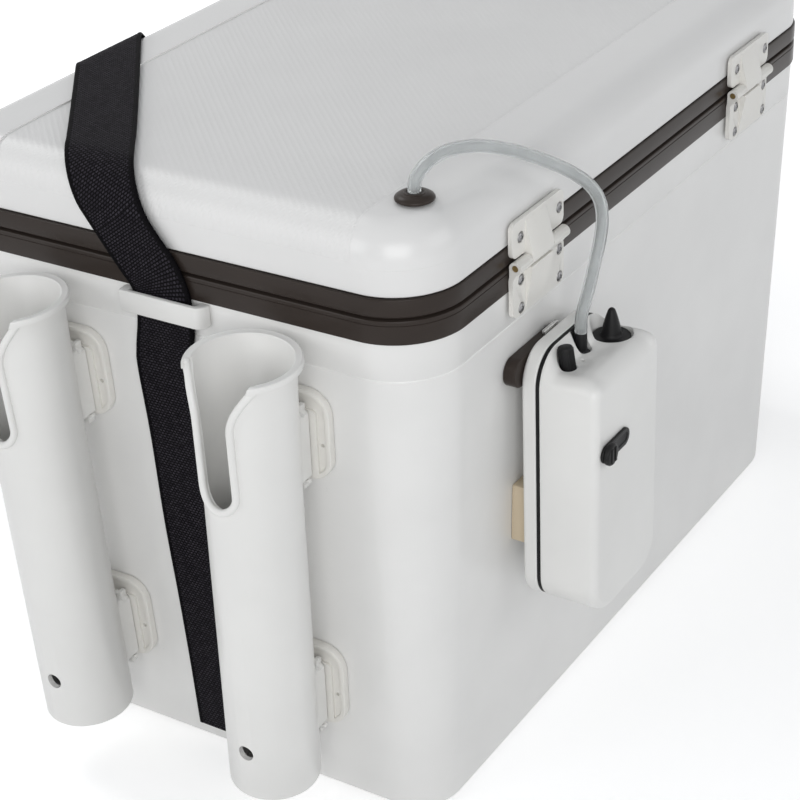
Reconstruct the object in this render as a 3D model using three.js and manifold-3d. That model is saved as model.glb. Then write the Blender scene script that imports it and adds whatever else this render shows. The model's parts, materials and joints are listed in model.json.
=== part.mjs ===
// Live bait well: an insulated box with a hinged lid, rod holders, a carrying strap
// and an aerator pump on its rear wall. Millimetres, +Z up, origin at the centre of the base.
// +X is the long axis, +Y the rear wall with the hinges and pump, -Y the front with the latches.
import * as THREE from 'three';
import { mergeVertices } from 'three/addons/utils/BufferGeometryUtils.js';
import Module from 'manifold-3d';

const wasm = await Module();
wasm.setup();

// Overall sizes of the box, across the brown bands, with its heights stacked from the base
const LENGTH = 500;
const WIDTH = 322;
const WALL_TOP = 308.2;
const LOWER_BAND_HEIGHT = 14.1;
const UPPER_BAND_HEIGHT = 12;
const LID_WALL_HEIGHT = 15.2;
const LID_ROLL_RISE = 23.5;
const SEAM_Z = WALL_TOP + LOWER_BAND_HEIGHT;
const LID_WALL_BOTTOM = SEAM_Z + UPPER_BAND_HEIGHT;
const LID_ROLL_Z = LID_WALL_BOTTOM + LID_WALL_HEIGHT;
const LID_TOP = LID_ROLL_Z + LID_ROLL_RISE;

// Clearances
const GAP = 0.3;
const RUN_GAP = 0.4;
const EASY_GAP = 0.8;
const OVERRUN = 5;

// Box walls
const CORNER_RADIUS = 40;
const BAND_STEP = 1.2;
const WALL_INSET_AT_BASE = 10.5;
const BASE_ROLL = 6;
const SKIN = 3;
const WELL_WALL = 34;
const WELL_WALL_AT_FLOOR = 41;
const WELL_CORNER_RADIUS = 22;
const WELL_FLOOR_Z = 40;
const FLANGE_WIDTH = 17;
const FLANGE_THICKNESS = 2.6;
const BAND_SKIN = 4;
const BAND_LAND = 4;

// Lid
const LID_ROLL_RUN = 19;
const LID_ROLL_STEPS = 5;
const LID_CROWN_INSET = 60;
const LID_CROWN = 0.8;
const LEDGE_WIDTH = 14;
const LEDGE_THICKNESS = 2.9;
const GASKET_WIDTH = 14;
const LINER_SKIN = 3;

// Hinges
const HINGE_FROM_END = 112;
const HINGE_WIDTH = 56.6;
const HINGE_RISE = 0.8;
const LEAF_THICKNESS = 2.6;
const LEAF_CORNER_RADIUS = 4.5;
const UPPER_LEAF_RISE = 4.1;
const UPPER_LEAF_HEIGHT = 20;
const LOWER_LEAF_DROP = 4.1;
const LOWER_LEAF_HEIGHT = 26.4;
const KNUCKLE_RADIUS = 3.5;
const KNUCKLE_LENGTH = 23;
const KNUCKLE_ASIDE = 2.8;
const BARREL_CAP = 1.6;
const HINGE_PIN_RADIUS = 1.8;
const HINGE_X = LENGTH / 2 - HINGE_FROM_END;
const HINGE_Y = WIDTH / 2 + KNUCKLE_RADIUS + EASY_GAP;
const HINGE_Z = SEAM_Z + HINGE_RISE;

// Strap and its loops
const STRAP_WIDTH = 38;
const STRAP_THICKNESS = 1.6;
const STRAP_LIFT = 1.4;
const STRAP_COLUMNS = 5;
const STRAP_STEP = 7;
const WIDE_STEP = 4;
const STRAP_FOLD_DROP = 7.15;
const STRAP_FOLD_GAP = 1.2;
const STRAP_FRONT_DROP = 36.4;
const LOOP_FRONT = 7.6;
const LOOP_BAR_THICKNESS = 3;
const LOOP_BAR_HEIGHT = 12.8;
const LOOP_INNER_WIDTH = 44.8;
const LOOP_FOOT = 5.4;

// Rod holders
const HOLDER_PLACE_SHARE = 0.236;
const HOLDER_STANDOFF = 12.5;
const HOLDER_TILT = THREE.MathUtils.degToRad(1.75);
const HOLDER_TOP_DROP = 1.2;
const HOLDER_RISE = 35.2;
const TUBE_RADIUS = 26;
const TUBE_TOP_RADIUS = 27.4;
const TAPER_HEIGHT = 85;
const TUBE_WALL = 3.2;
const RIM_FLARE = 5;
const RIM_HEIGHT = 4;
const RIM_WALL = 4.6;
const NOTCH_WIDTH = 24;
const NOTCH_MOUTH = 46;
const NOTCH_DEPTH = 79;
const NOTCH_TURN = THREE.MathUtils.degToRad(-9);
const HOLDER_FLOOR = 3;
const CROSS_HOLE_RADIUS = 4.8;
const CROSS_HOLE_RISE = 32;
const SHOE_WIDTH = 30;
const SHOE_HEIGHT = 42;
const SHOE_DROP = 4.8;
const RAIL_NECK = 9;
const RAIL_HEAD = 16;
const RAIL_DEPTH = 5;
const RAIL_HEAD_DEPTH = 2.6;
const PLATE_WIDTH = 54;
const PLATE_HEIGHT = 54.5;
const PLATE_THICKNESS = 3.4;
const PLATE_CORNER_RADIUS = 14;
const PLATE_RIM = 3;
const PLATE_RIM_RISE = 1.4;
const UPPER_PLATE_DROP = 60.2;
const LOWER_PLATE_Z = 79;
const HOLDER_Y = WIDTH * HOLDER_PLACE_SHARE;
const HOLDER_REACH = TUBE_RADIUS + HOLDER_STANDOFF;
const RIM_RADIUS = TUBE_RADIUS + RIM_FLARE;
const HOLDER_TOP_Z = WALL_TOP - HOLDER_TOP_DROP;
const UPPER_PLATE_Z = HOLDER_TOP_Z - UPPER_PLATE_DROP;

// Latches
const LATCH_PLACE_SHARE = 0.2716;
const LATCH_WIDTH = 50;
const LATCH_PIN_DROP = 3.5;
const LATCH_PIN_REACH = 7.5;
const LATCH_PIN_RADIUS = 2.2;
const LATCH_EAR = 5;
const LATCH_EAR_RADIUS = 5;
const LATCH_LEVER_THICKNESS = 4;
const LATCH_HOOK = 3;
const LATCH_HOOK_HEIGHT = 5;
const LATCH_SLACK = 2;
const KEEPER_REACH = 3.2;
const KEEPER_HEIGHT = 5;
const KEEPER_DROP = 14.7;
const LATCH_X = LENGTH * LATCH_PLACE_SHARE;
const LATCH_PIN_Z = LID_ROLL_Z - LATCH_PIN_DROP;
const KEEPER_Z = WALL_TOP - KEEPER_DROP;

// Pump. Places on it are measured from the middle of its back at its top
const PUMP_FROM_END = 125;
const PUMP_STANDOFF = 5;
const PUMP_DROP = 36.2;
const CELL_RADIUS = 17.1;
const CELL_LENGTH = 61.5;
const CELL_TIP_RADIUS = 4.5;
const CELL_TIP = 1.5;
const PUMP_SKIN = 2.4;
const PUMP_SIDE_ROOM = 1.4;
const PUMP_DEPTH_ROOM = 7;
const PUMP_HEAD = 77.5;
const PUMP_FOOT = 20;
const PUMP_COVER_DEPTH = 8.6;
const PUMP_GASKET_DEPTH = 1.8;
const PUMP_CORNER_RADIUS = 20;
const PUMP_EDGE_RADIUS = 5;
const DISH_RUN = 8;
const DISH_DROP = 9.5;
const DISH_WIDTH = 53;
const DISH_ASIDE = -1.5;
const POCKET_DROP = 12.5;
const POCKET_WIDTH = 34;
const POCKET_ASIDE = 9;
const CAP_X = -23;
const CAP_Y = 23.5;
const CAP_DISC_RADIUS = 11;
const CAP_CONE_RADIUS = 6;
const CAP_HEIGHT = 18.5;
const CAP_RECESS_RADIUS = 12.2;
const CAP_FLOOR = -13;
const CAP_DISC_THICKNESS = 2.5;
const OUTLET_X = -1;
const OUTLET_Y = 16;
const OUTLET_RADIUS = 3.2;
const OUTLET_RECESS_RADIUS = 6;
const OUTLET_FLOOR = -15;
const OUTLET_TOP = -1;
const PLUG_X = 21;
const PLUG_Y = 19;
const PLUG_RADIUS = 4.3;
const PLUG_RECESS_RADIUS = 5.6;
const PLUG_FLOOR = -15;
const PLUG_TOP = 1;
const SWITCH_X = 18.5;
const SWITCH_Z = -53.5;
const SWITCH_LENGTH = 32;
const SWITCH_PLATE_WIDTH = 10.6;
const SWITCH_PLATE_THICKNESS = 1.6;
const KNOB_RADIUS = 6.4;
const KNOB_HEIGHT = 3.6;
const BOARD_THICKNESS = 1.6;
const BOARD_HEIGHT = 22;
const BOARD_WIDTH = 60;
const BOARD_Y = 16;
const BOARD_Z = -63;
const MOTOR_RADIUS = 10;
const MOTOR_LENGTH = 26;
const MOTOR_X = 21;
const MOTOR_Y = 18;
const MOTOR_Z = -38;
const CAM_RADIUS = 7;
const CAM_THICKNESS = 4;
const SHAFT_RADIUS = 1;
const SHAFT_LENGTH = 6;
const BELLOWS_SIZE = 22;
const BELLOWS_X = -15;
const BELLOWS_Y = 21;
const BRACKET_WIDTH = 59;
const BRACKET_HEIGHT = 17;
const BRACKET_RADIUS = 8;
const BRACKET_ASIDE = 14.6;
const BRACKET_DROP = 12.5;
const SPACER_WIDTH = 14;
const SPACER_ASIDE = 31;
const SPACER_RISE = 32;
const PUMP_WIDTH = 4 * CELL_RADIUS + 2 * PUMP_SKIN + 2 * PUMP_SIDE_ROOM;
const PUMP_DEPTH = 2 * CELL_RADIUS + 2 * PUMP_SKIN + PUMP_DEPTH_ROOM;
const PUMP_HEIGHT = PUMP_HEAD + CELL_LENGTH + PUMP_FOOT;
const CELL_Y = PUMP_DEPTH - PUMP_SKIN - GAP - CELL_RADIUS;
const CELL_BOTTOM = PUMP_FOOT - PUMP_HEIGHT;
const PUMP_PLACE = new THREE.Vector3(
  LENGTH / 2 - PUMP_FROM_END,
  WIDTH / 2 + PUMP_STANDOFF,
  WALL_TOP - PUMP_DROP,
);

// Air line
const GROMMET_FROM_END = 41;
const GROMMET_FROM_REAR = 28.5;
const GROMMET_RADIUS = 10.5;
const GROMMET_HEIGHT = 4;
const GROMMET_RIM = 1.5;
const SPIGOT_RADIUS = 4.5;
const AIR_TUBE_RADIUS = 3.5;
const TUBE_START = 2;
const OUTLET_RUN = 10;
const TUNNEL_GAP = 1;
const STONE_RADIUS = 8;
const STONE_LENGTH = 30;
const GROMMET_X = LENGTH / 2 - GROMMET_FROM_END;
const GROMMET_Y = WIDTH / 2 - GROMMET_FROM_REAR;

// Turned parts and tubes have this many sides
const ROUND_SIDES = 24;
const SMALL_SIDES = 16;
const CORD_SIDES = 12;
const CORNER_STEPS = 6;
const SMALL_CORNER_STEPS = 4;
const PUMP_STEPS = 4;

const WALL_LEAN = Math.atan(WALL_INSET_AT_BASE / WALL_TOP);
const LAND_BOTTOM = SEAM_Z - BAND_LAND;

const part = new THREE.Group();
part.name = 'live_bait_well';

// Colour, roughness and metalness of each finish
const FINISHES = {
  white: [0xdedcd6, 0.35, 0],
  wallWhite: [0xcfcdc8, 0.4, 0],
  brown: [0x302a26, 0.22, 0],
  foam: [0xe9e6df, 0.9, 0],
  warmWhite: [0xe3ded2, 0.4, 0],
  steel: [0x9a9a98, 0.3, 1],
  brass: [0x8a6a3c, 0.35, 1],
  rubber: [0x1b1b1c, 0.7, 0],
  webbing: [0x17171a, 0.9, 0],
  hose: [0xc9ccc9, 0.3, 0],
  beige: [0xc2ab84, 0.6, 0],
  cell: [0x3c4650, 0.4, 0],
  board: [0x2f5b3c, 0.5, 0],
  stone: [0x8c8a86, 0.95, 0],
};

function add(name, geometry, finish, home = part) {
  const [color, roughness, metalness] = FINISHES[finish];
  const material = new THREE.MeshStandardMaterial({ color, roughness, metalness });
  const mesh = new THREE.Mesh(geometry, material);
  mesh.name = name;
  home.add(mesh);
  return mesh;
}

function toSolid(geometry) {
  const bare = geometry.clone();
  bare.deleteAttribute('normal');
  bare.deleteAttribute('uv');
  const merged = mergeVertices(bare, 1e-4);
  const triVerts = new Uint32Array(merged.index.array);
  const vertProperties = new Float32Array(merged.attributes.position.array);
  return new wasm.Manifold(new wasm.Mesh({ numProp: 3, vertProperties, triVerts }));
}

function toGeometry(solid) {
  const { vertProperties, triVerts } = solid.getMesh();
  const geometry = new THREE.BufferGeometry();
  geometry.setAttribute('position', new THREE.BufferAttribute(vertProperties, 3));
  geometry.setIndex(new THREE.BufferAttribute(triVerts, 1));
  return geometry;
}

// The first geometry with the others joined to it or cut from it
function join(first, ...others) {
  return toGeometry(others.reduce((solid, next) => solid.add(toSolid(next)), toSolid(first)));
}

function cut(first, ...others) {
  return toGeometry(others.reduce((solid, next) => solid.subtract(toSolid(next)), toSolid(first)));
}

function roundedRectangle(width, height, radius) {
  const x = width / 2 - radius;
  const y = height / 2 - radius;
  const shape = new THREE.Shape();
  shape.absarc(x, y, radius, 0, Math.PI / 2);
  shape.absarc(-x, y, radius, Math.PI / 2, Math.PI);
  shape.absarc(-x, -y, radius, Math.PI, Math.PI * 3 / 2);
  shape.absarc(x, -y, radius, Math.PI * 3 / 2, Math.PI * 2);
  return shape;
}

// Every arc of the shape gets this many straight steps, two to each curve segment
function extrude(shape, depth, steps = CORNER_STEPS) {
  return new THREE.ExtrudeGeometry(shape, { depth, bevelEnabled: false, curveSegments: steps / 2 });
}

// A slab with rounded corners, standing on its back against a wall that faces +Y
function wallPlate(width, height, thickness, radius) {
  return extrude(roundedRectangle(width, height, radius), thickness, SMALL_CORNER_STEPS)
    .rotateX(Math.PI / 2).translate(0, thickness, 0);
}

function box(width, depth, height) {
  return new THREE.BoxGeometry(width, depth, height);
}

function rod(radius, length, sides = SMALL_SIDES) {
  return new THREE.CylinderGeometry(radius, radius, length, sides);
}

// Points of a rounded rectangle, anticlockwise
function outline(halfWidth, halfHeight, radius, steps = CORNER_STEPS) {
  const centres = [[1, 1], [-1, 1], [-1, -1], [1, -1]];
  const points = [];
  centres.forEach(([sx, sy], quarter) => {
    for (let step = 0; step <= steps; step += 1) {
      const angle = (quarter + step / steps) * Math.PI / 2;
      points.push([
        sx * (halfWidth - radius) + radius * Math.cos(angle),
        sy * (halfHeight - radius) + radius * Math.sin(angle),
      ]);
    }
  });
  return points;
}

// A closed skin over rings of 3D points that follow each other upwards
function loft(rings, topCentre = null) {
  const count = rings[0].length;
  const centreOf = (ring) => [0, 1, 2].map((k) => ring.reduce((sum, p) => sum + p[k], 0) / count);
  const centres = [centreOf(rings[0]), topCentre ?? centreOf(rings[rings.length - 1])];
  const positions = [...rings.flat(), ...centres].flat();
  const index = [];
  const bottom = rings.length * count;
  const last = (rings.length - 1) * count;
  for (let i = 0; i < count; i += 1) {
    const next = (i + 1) % count;
    for (let row = 0; row < last; row += count) {
      index.push(row + i, row + next, row + count + next);
      index.push(row + i, row + count + next, row + count + i);
    }
    index.push(bottom, next, i);
    index.push(bottom + 1, last + i, last + next);
  }
  const geometry = new THREE.BufferGeometry();
  geometry.setAttribute('position', new THREE.Float32BufferAttribute(positions, 3));
  geometry.setIndex(index);
  return geometry;
}

// A block with rounded corners whose sides follow levels of [height, inset from the bands]
function boxStack(levels, radius = CORNER_RADIUS, crown = 0) {
  const rings = levels.map(([z, inset]) => outline(
    LENGTH / 2 - inset,
    WIDTH / 2 - inset,
    Math.max(radius - inset, GAP),
  ).map(([x, y]) => [x, y, z]));
  const top = levels[levels.length - 1][0];
  return loft(rings, [0, 0, top + crown]);
}

function wallInset(z) {
  return BAND_STEP + WALL_INSET_AT_BASE * (WALL_TOP - z) / WALL_TOP;
}

// Height and inset of the roll along the foot of the walls
const rollShares = [[0, 1], [0.3, 0.3], [1, 0]];

// Outside of the box below the bands, grown outwards by some clearance
function wallBlock(growth) {
  const levels = rollShares.map(([heightShare, insetShare]) => {
    const z = BASE_ROLL * heightShare;
    return [z - growth, wallInset(z) + BASE_ROLL * insetShare - growth];
  });
  levels.push([WALL_TOP + growth, wallInset(WALL_TOP) - growth]);
  return boxStack(levels);
}

// Distance of the drafted end wall and rear wall from the centre
const endWallX = (z) => LENGTH / 2 - wallInset(z);
const rearWallY = (z) => WIDTH / 2 - wallInset(z);

function wellBlock(growth, top) {
  const slope = (WELL_WALL_AT_FLOOR - WELL_WALL) / (SEAM_Z - WELL_FLOOR_Z);
  const inset = (z) => WELL_WALL + slope * (SEAM_Z - z) - growth;
  const floor = WELL_FLOOR_Z - growth;
  const radius = WELL_CORNER_RADIUS + WELL_WALL;
  return boxStack([[floor, inset(floor)], [top, inset(top)]], radius);
}

function outerShell() {
  const cavity = boxStack([
    [SKIN, wallInset(SKIN) + SKIN],
    [WALL_TOP + OVERRUN, wallInset(WALL_TOP + OVERRUN) + SKIN],
  ]);
  return cut(wallBlock(0), cavity);
}

const FLANGE_TOP = LAND_BOTTOM - GAP;
const FLANGE_BOTTOM = FLANGE_TOP - FLANGE_THICKNESS;
const FOAM_TOP = FLANGE_BOTTOM - GAP;

function bodyInsulation() {
  const foamGap = SKIN + GAP;
  const block = boxStack([
    [foamGap, wallInset(foamGap) + foamGap],
    [FOAM_TOP, wallInset(FOAM_TOP) + foamGap],
  ]);
  return cut(block, wellBlock(foamGap, SEAM_Z));
}

function innerLiner() {
  const flangeInset = WELL_WALL - FLANGE_WIDTH;
  const flange = boxStack([[FLANGE_BOTTOM, flangeInset], [FLANGE_TOP, flangeInset]]);
  return cut(join(wellBlock(SKIN, FLANGE_TOP), flange), wellBlock(0, SEAM_Z));
}

function lowerRim() {
  const bottom = WALL_TOP + GAP;
  const lip = BAND_STEP;
  const block = boxStack([[bottom, 0], [SEAM_Z - lip, 0], [SEAM_Z, lip]]);
  const pocket = boxStack([[bottom - OVERRUN, BAND_SKIN], [LAND_BOTTOM, BAND_SKIN]]);
  return cut(block, pocket, wellBlock(0, SEAM_Z + OVERRUN));
}

add('outer_shell', outerShell(), 'wallWhite');
add('body_insulation', bodyInsulation(), 'foam');
add('inner_liner', innerLiner(), 'white');
add('lower_rim', lowerRim(), 'brown');

// The air tube runs from the grommet over the lid's rear edge to the pump's outlet. Its route is
// measured from the box's rear right corner at the height of the lid's top
const outerTubeRoute = [
  [-42.5, -28, 11.5],
  [-48, -25, 17.5],
  [-57, -20.5, 21],
  [-67, -15, 21],
  [-78, -9, 18.5],
  [-92, 0, 12.5],
  [-106, 9, 4],
  [-119, 17, -5.5],
  [-129.5, 23, -15.5],
  [-135.5, 26.5, -26],
  [-137.5, 27.5, -37],
  [-136.5, 27, -49],
  [-133, 25.5, -63],
  [-129, 24, -77],
];

// Below the grommet it slants through the lid and down a corner of the well, measured the same
// way, and its last stretch is measured from the well's floor
const lidTubeRoute = [
  [-43, -32, -17],
  [-48, -39.5, -33],
  [-53.5, -47.5, -48],
  [-56.5, -52, -65],
  [-57, -53, -88],
];
const wellTubeRoute = [
  [-56.5, -54, 215],
  [-55.5, -55, 185],
  [-55, -56, 155],
  [-55.5, -57, 125],
  [-56.5, -57.5, 95],
  [-58, -58, 65],
  [-62, -58, 38],
  [-70, -58, 20],
  [-83, -58, 11],
  [-94, -58, 10],
];

const fromCorner = (height) => ([x, y, z]) => [LENGTH / 2 + x, WIDTH / 2 + y, height + z];

const grommetTop = LID_TOP + GROMMET_HEIGHT + 2 * GAP;
const grommetBottom = LID_TOP - SKIN - GAP;
const outletX = PUMP_PLACE.x + OUTLET_X;
const outletY = PUMP_PLACE.y + OUTLET_Y;
const outletTop = PUMP_PLACE.z + OUTLET_TOP + GAP;

const outerTubePoints = [
  [GROMMET_X, GROMMET_Y, grommetTop],
  [GROMMET_X, GROMMET_Y, grommetTop + TUBE_START],
  ...outerTubeRoute.map(fromCorner(LID_TOP)),
  [outletX, outletY, outletTop + OUTLET_RUN],
  [outletX, outletY, outletTop],
];

const innerTubePoints = [
  [GROMMET_X, GROMMET_Y, grommetBottom],
  [GROMMET_X, GROMMET_Y, grommetBottom - TUBE_START],
  ...lidTubeRoute.map(fromCorner(LID_TOP)),
  ...wellTubeRoute.map(fromCorner(WELL_FLOOR_Z)),
];

function pathOf(points) {
  return new THREE.CatmullRomCurve3(points.map((point) => new THREE.Vector3(...point)));
}

function tubeAlong(points, radius, steps, sides = CORD_SIDES) {
  const section = new THREE.Shape();
  section.absarc(0, 0, radius, 0, Math.PI * 2);
  return new THREE.ExtrudeGeometry(section, {
    extrudePath: pathOf(points),
    steps,
    curveSegments: sides / 2,
    bevelEnabled: false,
  });
}

// Lid
const LID_FLAT_INSET = BAND_STEP + LID_ROLL_RUN;
const LID_ROLL_HEIGHT = LID_TOP - LID_CROWN - LID_ROLL_Z;

function lidBlock(inset, bottom, steps = LID_ROLL_STEPS) {
  const levels = [[bottom, BAND_STEP + inset]];
  for (let step = 0; step <= steps; step += 1) {
    const angle = step / steps * Math.PI / 2;
    levels.push([
      LID_ROLL_Z + (LID_ROLL_HEIGHT - inset) * Math.sin(angle),
      BAND_STEP + inset + (LID_ROLL_RUN - inset) * (1 - Math.cos(angle)),
    ]);
  }
  const crownStart = LID_TOP - inset;
  levels.push([crownStart - LID_CROWN / 4, LID_CROWN_INSET]);
  return boxStack(levels, CORNER_RADIUS, LID_CROWN / 4);
}

function grommetHole() {
  return rod(SPIGOT_RADIUS + GAP, LID_TOP, SMALL_SIDES).rotateX(Math.PI / 2)
    .translate(GROMMET_X, GROMMET_Y, LID_TOP);
}

function lidShell() {
  const inside = lidBlock(SKIN, LID_WALL_BOTTOM - OVERRUN);
  return cut(lidBlock(0, LID_WALL_BOTTOM), inside, grommetHole());
}

const RIM_BOTTOM = SEAM_Z + GAP;
const LEDGE_TOP = RIM_BOTTOM + LEDGE_THICKNESS;
const RIM_TOP = LID_WALL_BOTTOM - GAP;
const LINER_BOTTOM = LEDGE_TOP + GAP;
const LINER_TOP = LINER_BOTTOM + LINER_SKIN;

function upperRim() {
  const lip = BAND_STEP;
  const block = boxStack([[RIM_BOTTOM, lip], [RIM_BOTTOM + lip, 0], [RIM_TOP, 0]]);
  const pocket = boxStack([[LEDGE_TOP, BAND_SKIN], [RIM_TOP + OVERRUN, BAND_SKIN]]);
  const ledgeInset = BAND_SKIN + LEDGE_WIDTH;
  const opening = boxStack([[RIM_BOTTOM - OVERRUN, ledgeInset], [RIM_TOP, ledgeInset]]);
  return cut(block, pocket, opening);
}

function lidLiner() {
  const inset = BAND_SKIN + GAP;
  const tunnel = tubeAlong(innerTubePoints, AIR_TUBE_RADIUS + TUNNEL_GAP, innerTubePoints.length);
  return cut(boxStack([[LINER_BOTTOM, inset], [LINER_TOP, inset]]), tunnel);
}

function lidInsulation() {
  const bottom = LINER_TOP + GAP;
  const inset = BAND_SKIN + GAP;
  const block = toSolid(lidBlock(inset, bottom, 2));
  const tunnel = toSolid(tubeAlong(innerTubePoints, AIR_TUBE_RADIUS + TUNNEL_GAP, innerTubePoints.length));
  return toGeometry(block.subtract(tunnel).subtract(toSolid(grommetHole())));
}

function lidGasket() {
  const outer = BAND_SKIN + LEDGE_WIDTH + GAP;
  const inner = outer + GASKET_WIDTH;
  const block = boxStack([[RIM_BOTTOM, outer], [LEDGE_TOP, outer]]);
  return cut(block, boxStack([[RIM_BOTTOM - OVERRUN, inner], [LEDGE_TOP + OVERRUN, inner]]));
}

function tubeGrommet() {
  const profile = [
    [0, -SKIN - GAP],
    [SPIGOT_RADIUS, -SKIN - GAP],
    [SPIGOT_RADIUS, 0],
    [GROMMET_RADIUS, 0],
    [GROMMET_RADIUS, GROMMET_RIM],
    [GROMMET_RADIUS - GROMMET_RIM, GROMMET_HEIGHT - GROMMET_RIM],
    [SPIGOT_RADIUS + GROMMET_RIM, GROMMET_HEIGHT],
    [SPIGOT_RADIUS, GROMMET_HEIGHT],
    [0, GROMMET_HEIGHT],
  ].map(([r, z]) => new THREE.Vector2(r, z));
  return new THREE.LatheGeometry(profile, ROUND_SIDES).rotateX(Math.PI / 2)
    .translate(GROMMET_X, GROMMET_Y, LID_TOP + GAP);
}

add('lid_shell', lidShell(), 'white');
add('upper_rim', upperRim(), 'brown');
add('lid_liner', lidLiner(), 'white');
add('lid_insulation', lidInsulation(), 'foam');
add('lid_gasket', lidGasket(), 'rubber');
add('tube_grommet', tubeGrommet(), 'brown');

// Hinges: the lid's leaf turns on a pin held in the box's leaf. Heights are from the pin
function barrel(low, high, radius) {
  return rod(radius, high - low, SMALL_SIDES).rotateZ(Math.PI / 2)
    .translate((low + high) / 2, HINGE_Y, 0);
}

// The tongue of the lid's leaf lies between the barrel's two outer knuckles
const TONGUE_LOW = KNUCKLE_ASIDE - KNUCKLE_LENGTH / 2;
const TONGUE_HIGH = KNUCKLE_ASIDE + KNUCKLE_LENGTH / 2;
const BARREL_LOW = BARREL_CAP - HINGE_WIDTH / 2;
const BARREL_HIGH = HINGE_WIDTH / 2;

function hingeLeaf(bottom, height) {
  return wallPlate(HINGE_WIDTH, height, LEAF_THICKNESS, LEAF_CORNER_RADIUS)
    .translate(0, WIDTH / 2 + GAP, bottom + height / 2);
}

// A ramp on a leaf, from the leaf's face at one height to the barrel's front at another
function leafRamp(thinZ, thickZ) {
  const face = LEAF_THICKNESS / 2;
  const front = HINGE_Y + KNUCKLE_RADIUS - WIDTH / 2 - GAP;
  const shape = new THREE.Shape();
  shape.moveTo(0, thinZ);
  shape.lineTo(face, thinZ);
  shape.lineTo(front, thickZ);
  shape.lineTo(0, thickZ);
  return extrude(shape, KNUCKLE_LENGTH).rotateX(Math.PI / 2).rotateZ(Math.PI / 2)
    .translate(TONGUE_LOW, WIDTH / 2 + GAP, 0);
}

function pinBore() {
  return barrel(BARREL_LOW + BARREL_CAP, BARREL_HIGH + OVERRUN, HINGE_PIN_RADIUS + RUN_GAP / 4);
}

function upperHingeLeaf() {
  const leaf = hingeLeaf(UPPER_LEAF_RISE, UPPER_LEAF_HEIGHT);
  const ramp = leafRamp(UPPER_LEAF_RISE + UPPER_LEAF_HEIGHT - LEAF_CORNER_RADIUS, 0);
  const tongue = join(ramp, barrel(TONGUE_LOW, TONGUE_HIGH, KNUCKLE_RADIUS));
  return cut(join(leaf, tongue), pinBore());
}

function lowerHingeLeaf() {
  const bottom = -LOWER_LEAF_DROP - LOWER_LEAF_HEIGHT;
  const leaf = hingeLeaf(bottom, LOWER_LEAF_HEIGHT);
  const ramp = leafRamp(bottom + LEAF_CORNER_RADIUS, -LOWER_LEAF_DROP);
  const knuckles = [
    [BARREL_LOW, TONGUE_LOW - RUN_GAP],
    [TONGUE_HIGH + RUN_GAP, BARREL_HIGH],
  ].map(([low, high]) => {
    const height = LOWER_LEAF_DROP + LEAF_CORNER_RADIUS;
    const stem = box(high - low, LEAF_THICKNESS, height)
      .translate((low + high) / 2, WIDTH / 2 + GAP + LEAF_THICKNESS / 2, -height / 2);
    return join(stem, barrel(low, high, KNUCKLE_RADIUS));
  });
  return cut(join(leaf, ramp, ...knuckles), pinBore());
}

for (const [side, sign] of [['right', 1], ['left', -1]]) {
  const hinge = new THREE.Group();
  hinge.position.set(sign * HINGE_X, 0, HINGE_Z);
  part.add(hinge);
  add(`hinge_upper_leaf_${side}`, upperHingeLeaf(), 'warmWhite', hinge);
  add(`hinge_lower_leaf_${side}`, lowerHingeLeaf(), 'warmWhite', hinge);
  const pin = barrel(BARREL_LOW + BARREL_CAP + GAP, BARREL_HIGH - GAP, HINGE_PIN_RADIUS);
  add(`hinge_pin_${side}`, pin, 'brass', hinge);
}

// Latches on the front: a lever hangs from a pin on the lid and hooks under a keeper
function latchBracket() {
  const pinY = LATCH_PIN_REACH;
  const plate = box(LATCH_WIDTH, LATCH_EAR / 2, 2 * LATCH_EAR_RADIUS)
    .translate(0, LATCH_EAR / 4, 0);
  const ears = [-1, 1].map((side) => {
    const x = side * (LATCH_WIDTH - LATCH_EAR) / 2;
    const arm = box(LATCH_EAR, pinY, 2 * LATCH_EAR_RADIUS).translate(x, pinY / 2, 0);
    const eye = rod(LATCH_EAR_RADIUS, LATCH_EAR).rotateZ(Math.PI / 2).translate(x, pinY, 0);
    return join(arm, eye);
  });
  const pin = rod(LATCH_PIN_RADIUS, LATCH_WIDTH).rotateZ(Math.PI / 2).translate(0, pinY, 0);
  return join(plate, ...ears, pin);
}

// Length of the lever below its pin: its hook reaches under the keeper
const LATCH_LEVER_DROP = LATCH_PIN_Z - KEEPER_Z + KEEPER_HEIGHT / 2 + LATCH_SLACK + LATCH_HOOK_HEIGHT;

function latchLever() {
  const width = LATCH_WIDTH - 2 * LATCH_EAR - 2 * EASY_GAP;
  const pinY = LATCH_PIN_REACH;
  const eyeRadius = LATCH_PIN_REACH - LATCH_EAR / 2 - RUN_GAP;
  const eye = rod(eyeRadius, width).rotateZ(Math.PI / 2).translate(0, pinY, 0);
  const arm = wallPlate(width, LATCH_LEVER_DROP, LATCH_LEVER_THICKNESS, LEAF_CORNER_RADIUS)
    .translate(0, pinY + eyeRadius - LATCH_LEVER_THICKNESS, -LATCH_LEVER_DROP / 2);
  const hookLength = LATCH_HOOK + LATCH_LEVER_THICKNESS / 2;
  const hookY = pinY + eyeRadius - LATCH_LEVER_THICKNESS + LATCH_LEVER_THICKNESS / 2;
  const hook = box(width - 2 * LEAF_CORNER_RADIUS, hookLength, LATCH_HOOK_HEIGHT)
    .translate(0, hookY - hookLength / 2, -LATCH_LEVER_DROP + LATCH_HOOK_HEIGHT / 2);
  const bore = rod(LATCH_PIN_RADIUS + RUN_GAP / 4, LATCH_WIDTH).rotateZ(Math.PI / 2)
    .translate(0, pinY, 0);
  return cut(join(eye, arm, hook), bore);
}

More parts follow.
